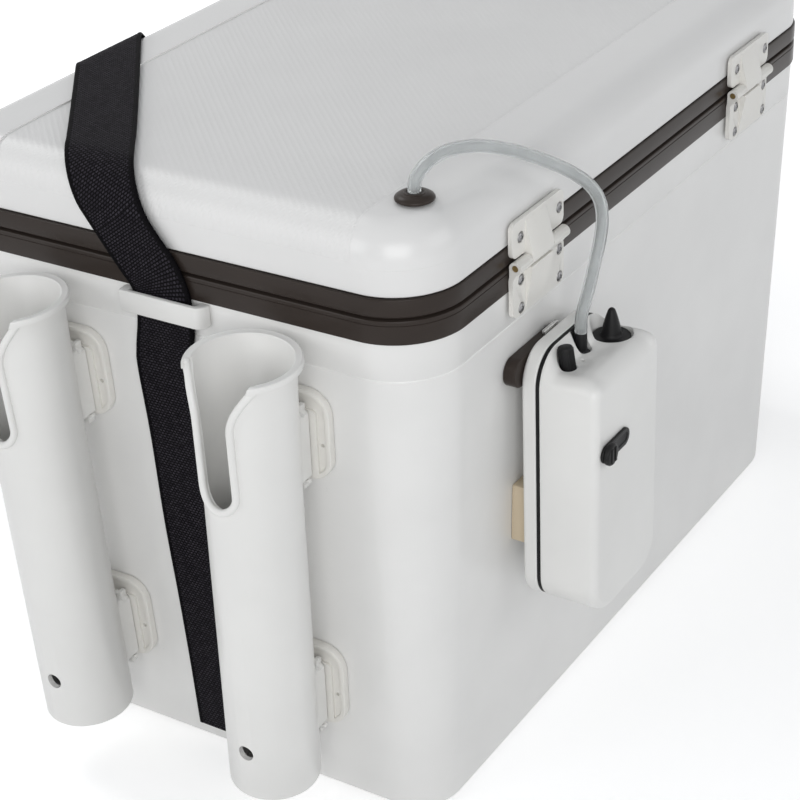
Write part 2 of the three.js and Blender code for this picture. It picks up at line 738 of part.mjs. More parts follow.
function latchKeeper() {
  const width = LATCH_WIDTH - 2 * LATCH_EAR;
  const reach = KEEPER_REACH + wallInset(KEEPER_Z);
  const ledge = box(width, reach, KEEPER_HEIGHT)
    .translate(0, WIDTH / 2 - wallInset(KEEPER_Z) + reach / 2, KEEPER_Z);
  return cut(ledge, wallBlock(GAP));
}

for (const [side, sign] of [['right', 1], ['left', -1]]) {
  const latch = new THREE.Group();
  latch.rotation.z = Math.PI;
  latch.position.x = sign * LATCH_X;
  part.add(latch);
  const onLid = new THREE.Group();
  onLid.position.set(0, WIDTH / 2 - BAND_STEP + GAP, LATCH_PIN_Z);
  latch.add(onLid);
  add(`latch_bracket_${side}`, latchBracket(), 'white', onLid);
  add(`latch_lever_${side}`, latchLever(), 'white', onLid);
  add(`latch_keeper_${side}`, latchKeeper(), 'white', latch);
}

// Rod holders ride on dovetail rails. Each end wall has its own leaning frame, whose
// +Y points out of the wall, so that plates lie flat on it
function endFrame(sign) {
  const turned = new THREE.Group();
  turned.rotation.z = -sign * Math.PI / 2;
  const leaning = new THREE.Group();
  leaning.position.set(0, endWallX(0), 0);
  leaning.rotation.x = -WALL_LEAN;
  turned.add(leaning);
  part.add(turned);
  return leaning;
}

function rail(width, headWidth, height, growth) {
  const stem = box(width + 2 * growth, RAIL_DEPTH, height).translate(0, RAIL_DEPTH / 2, 0);
  const head = box(headWidth + 2 * growth, RAIL_HEAD_DEPTH + 2 * growth, height)
    .translate(0, RAIL_DEPTH - RAIL_HEAD_DEPTH / 2, 0);
  return join(stem, head);
}

const RAIL_BASE = GAP + PLATE_THICKNESS;

function railPlate() {
  const rise = PLATE_THICKNESS + PLATE_RIM_RISE;
  const plate = wallPlate(PLATE_WIDTH, PLATE_HEIGHT, rise, PLATE_CORNER_RADIUS);
  const recess = wallPlate(
    PLATE_WIDTH - 2 * PLATE_RIM,
    PLATE_HEIGHT - 2 * PLATE_RIM,
    OVERRUN,
    PLATE_CORNER_RADIUS - PLATE_RIM,
  ).translate(0, PLATE_THICKNESS, 0);
  const dovetail = rail(RAIL_NECK, RAIL_HEAD, SHOE_HEIGHT, 0)
    .translate(0, PLATE_THICKNESS - GAP / 2, -SHOE_DROP);
  return join(cut(plate, recess), dovetail).translate(0, GAP, 0);
}

// Height along the leaning wall of a point at height z
const alongWall = (z) => z / Math.cos(WALL_LEAN);
const HOLDER_LENGTH = alongWall(HOLDER_TOP_Z) - HOLDER_RISE;

function holderProfile() {
  const outer = [
    [TUBE_RADIUS, 0],
    [TUBE_RADIUS, HOLDER_LENGTH - TAPER_HEIGHT],
    [TUBE_TOP_RADIUS, HOLDER_LENGTH - RIM_HEIGHT],
    [RIM_RADIUS, HOLDER_LENGTH - RIM_HEIGHT],
    [RIM_RADIUS, HOLDER_LENGTH],
  ];
  const inner = [
    [RIM_RADIUS - RIM_WALL, HOLDER_LENGTH],
    [TUBE_TOP_RADIUS - TUBE_WALL, HOLDER_LENGTH - 2 * RIM_HEIGHT],
    [TUBE_RADIUS - TUBE_WALL, HOLDER_LENGTH - TAPER_HEIGHT],
  ];
  const floor = [[TUBE_RADIUS - TUBE_WALL, HOLDER_FLOOR], [0, HOLDER_FLOOR]];
  return [[0, 0], ...outer, ...inner, ...floor].map(([r, z]) => new THREE.Vector2(r, z));
}

function notchTool() {
  const half = NOTCH_WIDTH / 2;
  const mouth = NOTCH_MOUTH / 2;
  const rise = NOTCH_DEPTH - half;
  const shape = new THREE.Shape();
  shape.absarc(0, 0, half, Math.PI, Math.PI * 2);
  shape.lineTo(half, rise / 2);
  shape.quadraticCurveTo(half, rise - RIM_HEIGHT, mouth, rise);
  shape.lineTo(mouth, rise + OVERRUN);
  shape.lineTo(-mouth, rise + OVERRUN);
  shape.lineTo(-mouth, rise);
  shape.quadraticCurveTo(-half, rise - RIM_HEIGHT, -half, rise / 2);
  return extrude(shape, 2 * RIM_RADIUS, CORNER_STEPS).rotateX(Math.PI / 2)
    .translate(0, 2 * RIM_RADIUS, HOLDER_LENGTH - rise);
}

function rodHolder() {
  const reach = HOLDER_REACH;
  const tube = new THREE.LatheGeometry(holderProfile(), ROUND_SIDES).rotateX(Math.PI / 2);
  const notch = notchTool().rotateZ(NOTCH_TURN);
  const crossHole = rod(CROSS_HOLE_RADIUS, 2 * RIM_RADIUS).translate(0, RIM_RADIUS, CROSS_HOLE_RISE);
  const body = cut(tube, notch, crossHole).translate(0, reach, HOLDER_RISE);
  const shoeFront = reach - Math.sqrt(TUBE_RADIUS ** 2 - (SHOE_WIDTH / 2) ** 2) + TUBE_WALL / 2;
  const shoeBack = RAIL_BASE + PLATE_RIM_RISE + EASY_GAP;
  const bore = rod(TUBE_RADIUS - TUBE_WALL / 2, HOLDER_LENGTH, ROUND_SIDES).rotateX(Math.PI / 2)
    .translate(0, reach, HOLDER_RISE + HOLDER_LENGTH / 2 + HOLDER_FLOOR);
  const shoes = [LOWER_PLATE_Z, UPPER_PLATE_Z].map((z) => {
    const block = box(SHOE_WIDTH, shoeFront - shoeBack, SHOE_HEIGHT)
      .translate(0, (shoeFront + shoeBack) / 2, 0);
    const slot = rail(RAIL_NECK, RAIL_HEAD, PLATE_HEIGHT + OVERRUN, RUN_GAP)
      .translate(0, RAIL_BASE, 0);
    return cut(block, slot).translate(0, 0, alongWall(z) - SHOE_DROP);
  });
  return join(body, ...shoes.map((shoe) => cut(shoe, bore)));
}

// A holder and its plates lean towards the middle of the wall, like the wall's own corners
function holderMount(hand) {
  const top = alongWall(HOLDER_TOP_Z);
  const mount = new THREE.Group();
  mount.rotation.y = hand * HOLDER_TILT;
  mount.position.set(
    hand * (HOLDER_Y - top * Math.sin(HOLDER_TILT)),
    0,
    top - top * Math.cos(HOLDER_TILT),
  );
  return mount;
}

for (const [side, sign] of [['right', 1], ['left', -1]]) {
  const wall = endFrame(sign);
  for (const [place, turn] of [['front', -1], ['rear', 1]]) {
    const name = `${side}_${place}`;
    const mount = holderMount(-sign * turn);
    wall.add(mount);
    add(`rod_holder_${name}`, rodHolder(), 'white', mount);
    for (const [level, z] of [['upper', UPPER_PLATE_Z], ['lower', LOWER_PLATE_Z]]) {
      add(`rod_plate_${name}_${level}`, railPlate(), 'warmWhite', mount).position.z = alongWall(z);
    }
  }
}

// Strap loops: a bar across the end wall, just below the band, with the strap behind it
function strapLoop() {
  const width = LOOP_INNER_WIDTH + 2 * LOOP_FOOT;
  const frame = box(width, LOOP_FRONT, LOOP_BAR_HEIGHT).translate(0, LOOP_FRONT / 2, 0);
  const slotDepth = LOOP_FRONT - LOOP_BAR_THICKNESS + OVERRUN;
  const slot = box(LOOP_INNER_WIDTH, slotDepth, LOOP_BAR_HEIGHT + OVERRUN)
    .translate(0, slotDepth / 2 - OVERRUN, 0);
  return cut(frame, slot).translate(0, GAP, 0);
}

const LOOP_Z = WALL_TOP - LOOP_BAR_HEIGHT / 2 - GAP;

// A ribbon over stations, each a row of places across it with a point and an outward normal
function ribbon(stations) {
  return loft(stations.map((row) => {
    const face = row.map(({ point }) => point);
    const back = row.map(({ point, normal }) => (
      point.map((value, k) => value + normal[k] * STRAP_THICKNESS)
    ));
    return [...face, ...back.reverse()];
  }));
}

// Places across the strap, from its left edge to its right edge
const strapPlaces = Array.from(
  { length: STRAP_COLUMNS + 1 },
  (_, i) => STRAP_WIDTH * (1 / 2 - i / STRAP_COLUMNS),
);

// The lid's surface unrolled: distance past the flat top, as [outwards, height, lean]
function overEdge(distance) {
  if (distance <= 0) {
    return { out: distance, height: LID_TOP, tilt: 0 };
  }
  const angle = Math.min(distance / ROLL_LENGTH, 1) * Math.PI / 2;
  const drop = Math.max(distance - ROLL_LENGTH, 0);
  return {
    out: LID_ROLL_RUN * Math.sin(angle),
    height: LID_TOP - (LID_TOP - LID_ROLL_Z) * (1 - Math.cos(angle)) - drop,
    tilt: angle,
  };
}

// Point of the strap's inner face at a place on the unrolled lid
function onLid(x, y) {
  const flatX = LENGTH / 2 - LID_FLAT_INSET;
  const flatY = WIDTH / 2 - LID_FLAT_INSET;
  const side = Math.sign(x) || 1;
  const pastEnd = Math.abs(x) - flatX;
  const pastFront = -y - flatY;
  const edge = pastEnd > 0 ? overEdge(pastEnd) : overEdge(pastFront);
  const sin = Math.sin(edge.tilt);
  const cos = Math.cos(edge.tilt);
  const lift = STRAP_LIFT + BAND_STEP * sin;
  const normal = pastEnd > 0 ? [side * sin, 0, cos] : [0, -sin, cos];
  const foot = pastEnd > 0
    ? [side * (flatX + edge.out), y, edge.height]
    : [x, pastFront > 0 ? -flatY - edge.out : y, edge.height];
  return { point: foot.map((value, k) => value + normal[k] * lift), normal };
}

// Stations of the strap along a centreline drawn on the unrolled lid
function strapStations(centres) {
  return centres.map(([x, y], i) => {
    const [x0, y0] = centres[Math.max(i - 1, 0)];
    const [x1, y1] = centres[Math.min(i + 1, centres.length - 1)];
    const length = Math.hypot(x1 - x0, y1 - y0);
    const across = [(y1 - y0) / length, -(x1 - x0) / length];
    return strapPlaces.map((place) => onLid(x + across[0] * place, y + across[1] * place));
  });
}

// The unrolled lid reaches this far to the fold in a loop's slot and to the fold on its front
const ROLL_LENGTH = (LID_ROLL_RUN + LID_ROLL_HEIGHT) / 2 * Math.PI / 2;
const FOLD_Z = WALL_TOP - STRAP_FOLD_DROP;
const FOLD_X = LENGTH / 2 - LID_FLAT_INSET + ROLL_LENGTH + LID_ROLL_Z - FOLD_Z;
const FOLD_Y = WIDTH / 2 - LID_FLAT_INSET + ROLL_LENGTH + STRAP_FRONT_DROP;

// Centreline of the strap as shares of those two reaches, up the end wall and then over the lid
const strapRunShares = [
  [1, -0.005],
  [0.981, -0.005],
  [0.955, -0.017],
  [0.929, -0.04],
  [0.891, -0.085],
  [0.849, -0.133],
];
const strapOnLidShares = [
  [0.846, -0.136],
  [0.74, -0.249],
  [0.675, -0.318],
  [0.492, -0.521],
  [0.289, -0.749],
  [0.193, -0.858],
  [0.116, -0.938],
  [0.051, -0.986],
  [0, -1],
];
const inMillimetres = (shares) => shares.map(([x, y]) => [FOLD_X * x, FOLD_Y * y]);
const strapRun = inMillimetres(strapRunShares);
const strapOnLid = inMillimetres(strapOnLidShares);

// The same centreline in even steps, and in wide ones where the strap lies flat
function inSteps(points) {
  const curve = new THREE.CatmullRomCurve3(points.map(([x, y]) => new THREE.Vector3(x, y, 0)));
  const centres = curve.getSpacedPoints(Math.round(curve.getLength() / STRAP_STEP));
  const last = centres.length - 1;
  const bends = ({ x, y }) => {
    const pastEnd = Math.abs(x) - LENGTH / 2 + LID_FLAT_INSET;
    const pastFront = -y - WIDTH / 2 + LID_FLAT_INSET;
    return Math.max(pastEnd, pastFront) > -STRAP_WIDTH / 2;
  };
  return centres.filter((centre, i) => i % WIDE_STEP === 0 || i === last || bends(centre))
    .map(({ x, y }) => [x, y]);
}

const mirrored = (points) => points.map(([x, y]) => [-x, y]).reverse();

function strapEnd(side) {
  return ribbon(strapStations(inSteps(side > 0 ? strapRun : mirrored(strapRun))));
}

function strapOverLid() {
  return ribbon(strapStations(inSteps([...strapOnLid, ...mirrored(strapOnLid).slice(1)])));
}

// The loose end hangs down the wall from the slot: shares of its height, of the strap's width
// sideways and of the strap's lift off the wall
const tailShares = [
  [1, -0.026, 1.57],
  [0.961, -0.053, 1.43],
  [0.901, -0.171, 0.57],
  [0.857, -0.197, 0.57],
  [0.717, -0.132, 0.57],
  [0.524, -0.092, 0.57],
  [0.347, -0.013, 0.57],
  [0.2, 0.039, 0.57],
  [0.04, 0.079, 0.57],
];

function strapTail(sign) {
  const half = STRAP_WIDTH / 2;
  const top = alongWall(FOLD_Z - STRAP_FOLD_GAP);
  return ribbon(tailShares.map(([height, aside, lift]) => [half, -half].map((place) => ({
    point: [place - sign * STRAP_WIDTH * aside, STRAP_LIFT * lift, top * height],
    normal: [0, 1, 0],
  }))));
}

for (const [side, sign] of [['right', 1], ['left', -1]]) {
  const wall = endFrame(sign);
  add(`strap_loop_${side}`, strapLoop(), 'white', wall).position.z = alongWall(LOOP_Z);
  add(`strap_tail_${side}`, strapTail(sign), 'webbing', wall);
  add(`strap_end_${side}`, strapEnd(sign), 'webbing');
}
add('strap_over_lid', strapOverLid(), 'webbing');

// Air line
const outerTubeSteps = outerTubePoints.length;
const innerTubeSteps = innerTubePoints.length;
add('air_tube_outer', tubeAlong(outerTubePoints, AIR_TUBE_RADIUS, outerTubeSteps), 'hose');
add('air_tube_inner', tubeAlong(innerTubePoints, AIR_TUBE_RADIUS, innerTubeSteps), 'hose');
const [stoneX, stoneY, stoneZ] = innerTubePoints[innerTubePoints.length - 1];
add(
  'air_stone',
  rod(STONE_RADIUS, STONE_LENGTH).rotateZ(Math.PI / 2)
    .translate(stoneX - GAP - STONE_LENGTH / 2, stoneY, stoneZ),
  'stone',
);

// Pump: its casing is lofted outwards from its back along +Y
const PUMP_SHELL_BACK = PUMP_COVER_DEPTH + PUMP_GASKET_DEPTH + 2 * GAP;
const PUMP_EDGE_START = PUMP_DEPTH - PUMP_EDGE_RADIUS;

function pumpRing(y, inset) {
  const top = -inset;
  const bottom = inset - PUMP_HEIGHT;
  const radius = PUMP_CORNER_RADIUS - inset;
  return outline((top - bottom) / 2, PUMP_WIDTH / 2 - inset, radius, PUMP_STEPS)
    .map(([up, aside]) => [aside, y, (top + bottom) / 2 + up]);
}

function pumpBlock(inset, back) {
  const steps = PUMP_STEPS;
  const rings = [];
  for (let step = 0; step < steps; step += 1) {
    const y = THREE.MathUtils.lerp(back, PUMP_EDGE_START, step / steps);
    rings.push(pumpRing(y, inset));
  }
  for (let step = 0; step <= steps; step += 1) {
    const angle = step / steps * Math.PI / 2;
    const edge = PUMP_EDGE_RADIUS * (1 - Math.cos(angle));
    const y = PUMP_EDGE_START + (PUMP_EDGE_RADIUS - inset) * Math.sin(angle);
    rings.push(pumpRing(y, inset + edge));
  }
  return loft(rings);
}

// A dish falls towards the front between the two ends of the casing's top
function pumpDish(depth, { drop, width, aside }) {
  const front = PUMP_DEPTH + OVERRUN;
  const shape = new THREE.Shape();
  shape.moveTo(PUMP_SHELL_BACK, -depth);
  shape.lineTo(PUMP_SHELL_BACK + DISH_RUN, -depth - drop);
  shape.lineTo(front, -depth - drop);
  shape.lineTo(front, OVERRUN);
  shape.lineTo(PUMP_SHELL_BACK, OVERRUN);
  return extrude(shape, width + 2 * depth).rotateX(Math.PI / 2).rotateZ(Math.PI / 2)
    .translate(aside - width / 2 - depth, 0, 0);
}

// The dish, and the deeper pocket round the plug and the outlet
const pumpDishes = [
  { drop: DISH_DROP, width: DISH_WIDTH, aside: DISH_ASIDE },
  { drop: POCKET_DROP, width: POCKET_WIDTH, aside: POCKET_ASIDE },
];

function upright(radius, bottom, top, x, y, sides = SMALL_SIDES) {
  return rod(radius, top - bottom, sides).rotateX(Math.PI / 2)
    .translate(x, y, (top + bottom) / 2);
}

const pumpRecesses = [
  { x: CAP_X, y: CAP_Y, radius: CAP_RECESS_RADIUS, floor: CAP_FLOOR },
  { x: OUTLET_X, y: OUTLET_Y, radius: OUTLET_RECESS_RADIUS, floor: OUTLET_FLOOR },
  { x: PLUG_X, y: PLUG_Y, radius: PLUG_RECESS_RADIUS, floor: PLUG_FLOOR },
];

function pumpFrontShell() {
  const dishes = (depth) => pumpDishes.map((dish) => pumpDish(depth, dish));
  const block = cut(pumpBlock(0, PUMP_SHELL_BACK), ...dishes(0));
  const inside = cut(pumpBlock(PUMP_SKIN, PUMP_SHELL_BACK - OVERRUN), ...dishes(PUMP_SKIN));
  const wall = PUMP_SKIN - GAP;
  const outside = toSolid(block);
  const cups = pumpRecesses.map(({ x, y, radius, floor }) => toGeometry(
    toSolid(upright(radius + wall, floor - PUMP_SKIN, OVERRUN, x, y)).intersect(outside),
  ));
  const holes = pumpRecesses.map(({ x, y, radius, floor }) => (
    upright(radius, floor, OVERRUN, x, y)
  ));
  return cut(join(cut(block, inside), ...cups), ...holes);
}

function pumpBackCover() {
  const edge = PUMP_SKIN;
  const skin = (levels) => loft(levels.map(([y, inset]) => pumpRing(y, inset)));
  const outside = [[0, edge], [edge / 3, edge / 3], [edge, 0], [PUMP_COVER_DEPTH, 0]];
  const inside = [[PUMP_SKIN, PUMP_SKIN], [PUMP_COVER_DEPTH + OVERRUN, PUMP_SKIN]];
  return cut(skin(outside), skin(inside));
}

function pumpGasket() {
  const back = PUMP_COVER_DEPTH + GAP;
  const front = back + PUMP_GASKET_DEPTH;
  const slab = loft([pumpRing(back, GAP), pumpRing(front, GAP)]);
  const hole = [pumpRing(back - OVERRUN, PUMP_SKIN), pumpRing(front + OVERRUN, PUMP_SKIN)];
  return cut(slab, loft(hole));
}

function pumpCap() {
  const discTop = CAP_FLOOR + CAP_DISC_THICKNESS;
  const coneTop = CAP_FLOOR + CAP_HEIGHT;
  const profile = [
    [0, CAP_FLOOR + GAP],
    [CAP_DISC_RADIUS, CAP_FLOOR + GAP],
    [CAP_DISC_RADIUS, discTop],
    [CAP_CONE_RADIUS, discTop + GAP],
    [CAP_CONE_RADIUS / 2, coneTop - CAP_CONE_RADIUS / 3],
    [CAP_CONE_RADIUS / 4, coneTop],
    [0, coneTop],
  ].map(([r, z]) => new THREE.Vector2(r, z));
  return new THREE.LatheGeometry(profile, SMALL_SIDES).rotateX(Math.PI / 2)
    .translate(CAP_X, CAP_Y, 0);
}

function switchPlate() {
  const radius = SWITCH_PLATE_WIDTH / 2;
  const plate = wallPlate(SWITCH_LENGTH, SWITCH_PLATE_WIDTH, SWITCH_PLATE_THICKNESS, radius);
  return plate.translate(SWITCH_X, PUMP_DEPTH + GAP, SWITCH_Z);
}

function switchKnob() {
  const x = SWITCH_X + SWITCH_LENGTH / 2 - KNOB_RADIUS;
  const back = PUMP_DEPTH + SWITCH_PLATE_THICKNESS + 2 * GAP;
  return rod(KNOB_RADIUS, KNOB_HEIGHT).translate(x, back + KNOB_HEIGHT / 2, SWITCH_Z);
}

function cell(side) {
  const x = side * (CELL_RADIUS + GAP);
  const top = CELL_BOTTOM + CELL_LENGTH;
  return join(
    upright(CELL_RADIUS, CELL_BOTTOM, top - CELL_TIP, x, CELL_Y, ROUND_SIDES),
    upright(CELL_TIP_RADIUS, CELL_BOTTOM + CELL_TIP, top, x, CELL_Y),
  );
}

function motorCam() {
  const shaft = rod(SHAFT_RADIUS, SHAFT_LENGTH, CORD_SIDES).translate(0, SHAFT_LENGTH / 2, 0);
  const cam = rod(CAM_RADIUS, CAM_THICKNESS)
    .translate(CAM_RADIUS / 4, SHAFT_LENGTH - CAM_THICKNESS / 2, 0);
  return join(shaft, cam).translate(MOTOR_X, MOTOR_Y + MOTOR_LENGTH / 2 + GAP, MOTOR_Z);
}

// Bracket on the wall behind the pump's head, with a spacer strip below it
function standoff(piece, bottom) {
  const back = rearWallY(bottom);
  return cut(piece(back, PUMP_PLACE.y - GAP - back), wallBlock(GAP));
}

const BRACKET_Z = PUMP_PLACE.z - BRACKET_DROP;

function pumpBracket() {
  return standoff((back, depth) => (
    wallPlate(BRACKET_WIDTH, BRACKET_HEIGHT, depth, BRACKET_RADIUS)
      .translate(PUMP_PLACE.x + BRACKET_ASIDE, back, BRACKET_Z)
  ), BRACKET_Z - BRACKET_HEIGHT);
}

function pumpSpacer() {
  const top = BRACKET_Z - BRACKET_HEIGHT / 2 - GAP;
  const bottom = PUMP_PLACE.z - PUMP_HEIGHT + SPACER_RISE;
  return standoff((back, depth) => (
    box(SPACER_WIDTH, depth, top - bottom)
      .translate(PUMP_PLACE.x + SPACER_ASIDE, back + depth / 2, (top + bottom) / 2)
  ), bottom);
}

const pump = new THREE.Group();
pump.position.copy(PUMP_PLACE);
part.add(pump);
add('pump_bracket', pumpBracket(), 'brown');
add('pump_spacer', pumpSpacer(), 'beige');
add('pump_back_cover', pumpBackCover(), 'white', pump);
add('pump_gasket', pumpGasket(), 'rubber', pump);
add('pump_front_shell', pumpFrontShell(), 'white', pump);
add('pump_cap', pumpCap(), 'rubber', pump);
add(
  'pump_outlet',
  upright(OUTLET_RADIUS, OUTLET_FLOOR + GAP, OUTLET_TOP, OUTLET_X, OUTLET_Y),
  'rubber',
  pump,
);
add(
  'pump_plug',
  upright(PLUG_RADIUS, PLUG_FLOOR + GAP, PLUG_TOP, PLUG_X, PLUG_Y),
  'rubber',
  pump,
);
add('switch_plate', switchPlate(), 'rubber', pump);
add('switch_knob', switchKnob(), 'rubber', pump);
add('cell_right', cell(1), 'cell', pump);
add('cell_left', cell(-1), 'cell', pump);
add(
  'circuit_board',
  box(BOARD_WIDTH, BOARD_THICKNESS, BOARD_HEIGHT).translate(0, BOARD_Y, BOARD_Z),
  'board',
  pump,
);
add(
  'pump_motor',
  rod(MOTOR_RADIUS, MOTOR_LENGTH).translate(MOTOR_X, MOTOR_Y, MOTOR_Z),
  'steel',
  pump,
);
add('motor_cam', motorCam(), 'white', pump);
add(
  'pump_diaphragm',
  box(BELLOWS_SIZE, BELLOWS_SIZE, BELLOWS_SIZE).translate(BELLOWS_X, BELLOWS_Y, MOTOR_Z),
  'rubber',
  pump,
);

export default part;
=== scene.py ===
import json
import math

import bmesh
import bpy
from mathutils import Matrix, Vector


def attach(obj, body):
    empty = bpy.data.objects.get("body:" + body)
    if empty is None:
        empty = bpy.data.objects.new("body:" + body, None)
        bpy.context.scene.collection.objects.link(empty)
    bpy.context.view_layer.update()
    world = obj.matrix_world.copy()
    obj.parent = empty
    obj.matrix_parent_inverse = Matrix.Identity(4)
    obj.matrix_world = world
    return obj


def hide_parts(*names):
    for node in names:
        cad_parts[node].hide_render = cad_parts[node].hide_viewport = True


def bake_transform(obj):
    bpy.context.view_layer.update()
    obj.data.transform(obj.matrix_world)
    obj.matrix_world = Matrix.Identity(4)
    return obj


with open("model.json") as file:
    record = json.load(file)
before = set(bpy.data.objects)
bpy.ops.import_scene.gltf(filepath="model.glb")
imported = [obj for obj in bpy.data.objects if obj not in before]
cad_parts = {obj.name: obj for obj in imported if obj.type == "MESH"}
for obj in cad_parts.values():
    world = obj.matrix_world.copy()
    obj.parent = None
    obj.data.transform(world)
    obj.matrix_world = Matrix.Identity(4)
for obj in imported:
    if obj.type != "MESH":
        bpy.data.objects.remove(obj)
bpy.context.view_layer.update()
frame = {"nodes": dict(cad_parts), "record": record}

# Sizes are in millimetres, as on the real object; meshes are written in metres
MM = 0.001

# Box
LENGTH = 500
WIDTH = 322
WALL_TOP = 308.2
SEAM_Z = 322.3
LID_WALL_BOTTOM = 334.3
LID_ROLL_Z = 349.5
LID_TOP = 373
LID_ROLL_RUN = 19
LID_CROWN = 0.8
# Over this run past the roll the lid rises to its crown, and its corners widen by that radius
LID_CROWN_RUN = 60
LID_CROWN_CORNER = 50
CORNER_RADIUS = 40
BAND_STEP = 1.2
WALL_INSET_AT_BASE = 10.5
BASE_ROLL = 6
SKIN = 3
BAND_SKIN = 4
BAND_LAND = 4
WELL_WALL = 34
WELL_WALL_AT_FLOOR = 41
WELL_CORNER_RADIUS = 22
WELL_FLOOR_Z = 40
WELL_FLOOR_RADIUS = 8
FLANGE_INSET = 17
FLANGE_THICKNESS = 2.6
GASKET_STEP = 14
PARTING_Z = 287
PARTING_HALF = 0.8
PARTING_DEPTH = 0.35
CREASE_Y = 119
PAD_RISE = 0.9

# Hinges
HINGE_X = 138
HINGE_Y = 165.3
HINGE_Z = 323.1
HINGE_WIDTH = 56.6
LEAF_THICKNESS = 2.6
# Heights of the leaves, and where tongue and barrel lie along X from the hinge's middle
UPPER_LEAF = (327.2, 347.2)
LOWER_LEAF = (292.6, 319)
KNUCKLE_RADIUS = 3.5
TONGUE = (-8.7, 14.3)
BARREL = (-26.7, 28.3)
HINGE_PIN_RADIUS = 1.8
RAMP_GAP = 0.6
COUNTERBORE = 1.3
SCREW_COLUMNS = (-23.55, 19.15)
SCREW_ROWS = (337.4, 313, 296.5)
SCREW_HEAD_RADIUS = 2.9

# Rod holders
HOLDER_Y = 0.236 * WIDTH
HOLDER_TILT = math.radians(1.75)
HOLDER_REACH = 38.5
HOLDER_TOP_Z = 307
HOLDER_RISE = 35.2
TUBE_RADIUS = 26
TUBE_WALL = 3.2
TUBE_TOP_RADIUS = 27.4
RIM_RADIUS = 31
RIM_BORE = 26.4
RIM_HEIGHT = 4
TAPER_HEIGHT = 85
NOTCH_WIDTH = 24
NOTCH_MOUTH = 46
NOTCH_DEPTH = 79
NOTCH_TURN = math.radians(-9)
NOTCH_BEAD = 2.1
HOLDER_FLOOR = 3
CROSS_HOLE_RADIUS = 4.8
CROSS_HOLE_RISE = 32
SHOE_WIDTH = 30
SHOE_HEIGHT = 42
SHOE_DROP = 4.8
SHOE_CLIP_ASIDE = 12.2
SHOE_CLIP_TURN = 28
RAIL_NECK = 9
RAIL_HEAD = 16
RAIL_DEPTH = 5
RAIL_HEAD_DEPTH = 2.6
RAIL_PLAY = 0.4
PLATE_WIDTH = 54
PLATE_HEIGHT = 54.5
PLATE_THICKNESS = 3.4
PLATE_CORNER_RADIUS = 14
PLATE_RIM = 3
PLATE_RIM_RISE = 1.4
BOSS_WIDTH = 38
BOSS_RISE = 1.5
DIMPLE_ASIDE = 21.5
PLATE_HEIGHTS = {"upper": 246.8, "lower": 79}

# Strap
STRAP_WIDTH = 38
LOOP_FRONT = 7.6
LOOP_BAR_THICKNESS = 3
LOOP_BAR_HEIGHT = 12.8
LOOP_INNER_WIDTH = 44.8
LOOP_FOOT = 5.4

# Pump
PUMP_X = 125
PUMP_WIDTH = 76
PUMP_BOTTOM = 113
PUMP_TOP = 272
PUMP_BACK = 166
PUMP_SPLIT = 174.6
PUMP_SHELL_BACK = 177
PUMP_FRONT = 212
PUMP_CORNER_RADIUS = 20
PUMP_EDGE_RADIUS = 5
PUMP_TOP_ROUND = 11
PUMP_SKIN = 2.4
# The pad behind the pump, over the pump's foot and from its middle
SPACER_RISE = 34.5
SPACER_HEIGHT = 36
SPACER_SIDE = 31
SPACER_WIDTH = 14
# The dish in the pump's top
DISH_DROP = 9.5
POCKET_DROP = 1.8
DISH_RUN = 9

# Clearance between neighbouring pieces
GAP = 0.3

# Camera, solved from the photo's straight edges
CAMERA_PLACE = (1026.66, 649.09, 795.95)
CAMERA_AZIMUTH = math.radians(122.99)
CAMERA_ELEVATION = math.radians(29.06)
CAMERA_ROLL = math.radians(2.56)
CAMERA_LENS = 94.49
SENSOR_WIDTH = 36

# The air tube from the grommet over the lid's rear edge to the pump's outlet
OUTER_TUBE_ROUTE = [
    (209, 132.5, 377.6), (209, 132.5, 379.6), (207.5, 133, 384.5), (202, 136, 390.5),
    (193, 140.5, 394), (183, 146, 394), (172, 152, 391.5), (158, 161, 385.5),
    (144, 170, 377), (131, 178, 367.5), (120.5, 184, 357.5), (114.5, 187.5, 347),
    (112.5, 188.5, 336), (113.5, 188, 324), (117, 186.5, 310), (121, 185, 296),
    (124, 182.5, 281.3), (124, 182, 271.3),
]

# Below the grommet it slants through the lid and down a corner of the well to the stone
INNER_TUBE_ROUTE = [
    (209, 132.5, 369.7), (209, 132.5, 367.7), (207, 129, 356), (202, 121.5, 340),
    (196.5, 113.5, 325), (193.5, 109, 308), (193, 108, 285), (193.5, 107, 255),
    (194.5, 106, 225), (195, 105, 195), (194.5, 104, 165), (193.5, 103.5, 135),
    (192, 103, 105), (188, 103, 78), (180, 103, 60), (167, 103, 51),
    (156, 103, 50),
]
TUBE_OUTSIDE = 3.5
TUBE_BORE = 2.1

# Light, in metres and watts: name, place, size and power of each lamp, all aimed at one point
LAMP_TARGET = (0, 0, 0.2)
LAMPS = [
    ("key", (2.3, 1.5, 1.2), (1.8, 1.4), 29),
    ("side", (2.4, -1.4, 1.2), (1.6, 1.2), 14),
    ("rear", (-0.6, 2.6, 1.4), (1.8, 1.2), 10),
    ("over", (-0.2, -1.9, 2.3), (1.1, 1.1), 17),
]
WORLD_LIGHT = (0.93, 0.96, 1.0)
WORLD_STRENGTH = 0.36
FLOOR_HALF = 6
FLOOR_WHITE = (0.86, 0.86, 0.86)
# Distance from the object and the floor's own brightness there, from near to far
FLOOR_LIFT = ((0.3, 0.43), (2.2, 0.9))


# Camera and lights

def link_object(name, data):
    obj = bpy.data.objects.new(name, data)
    bpy.context.collection.objects.link(obj)
    return obj


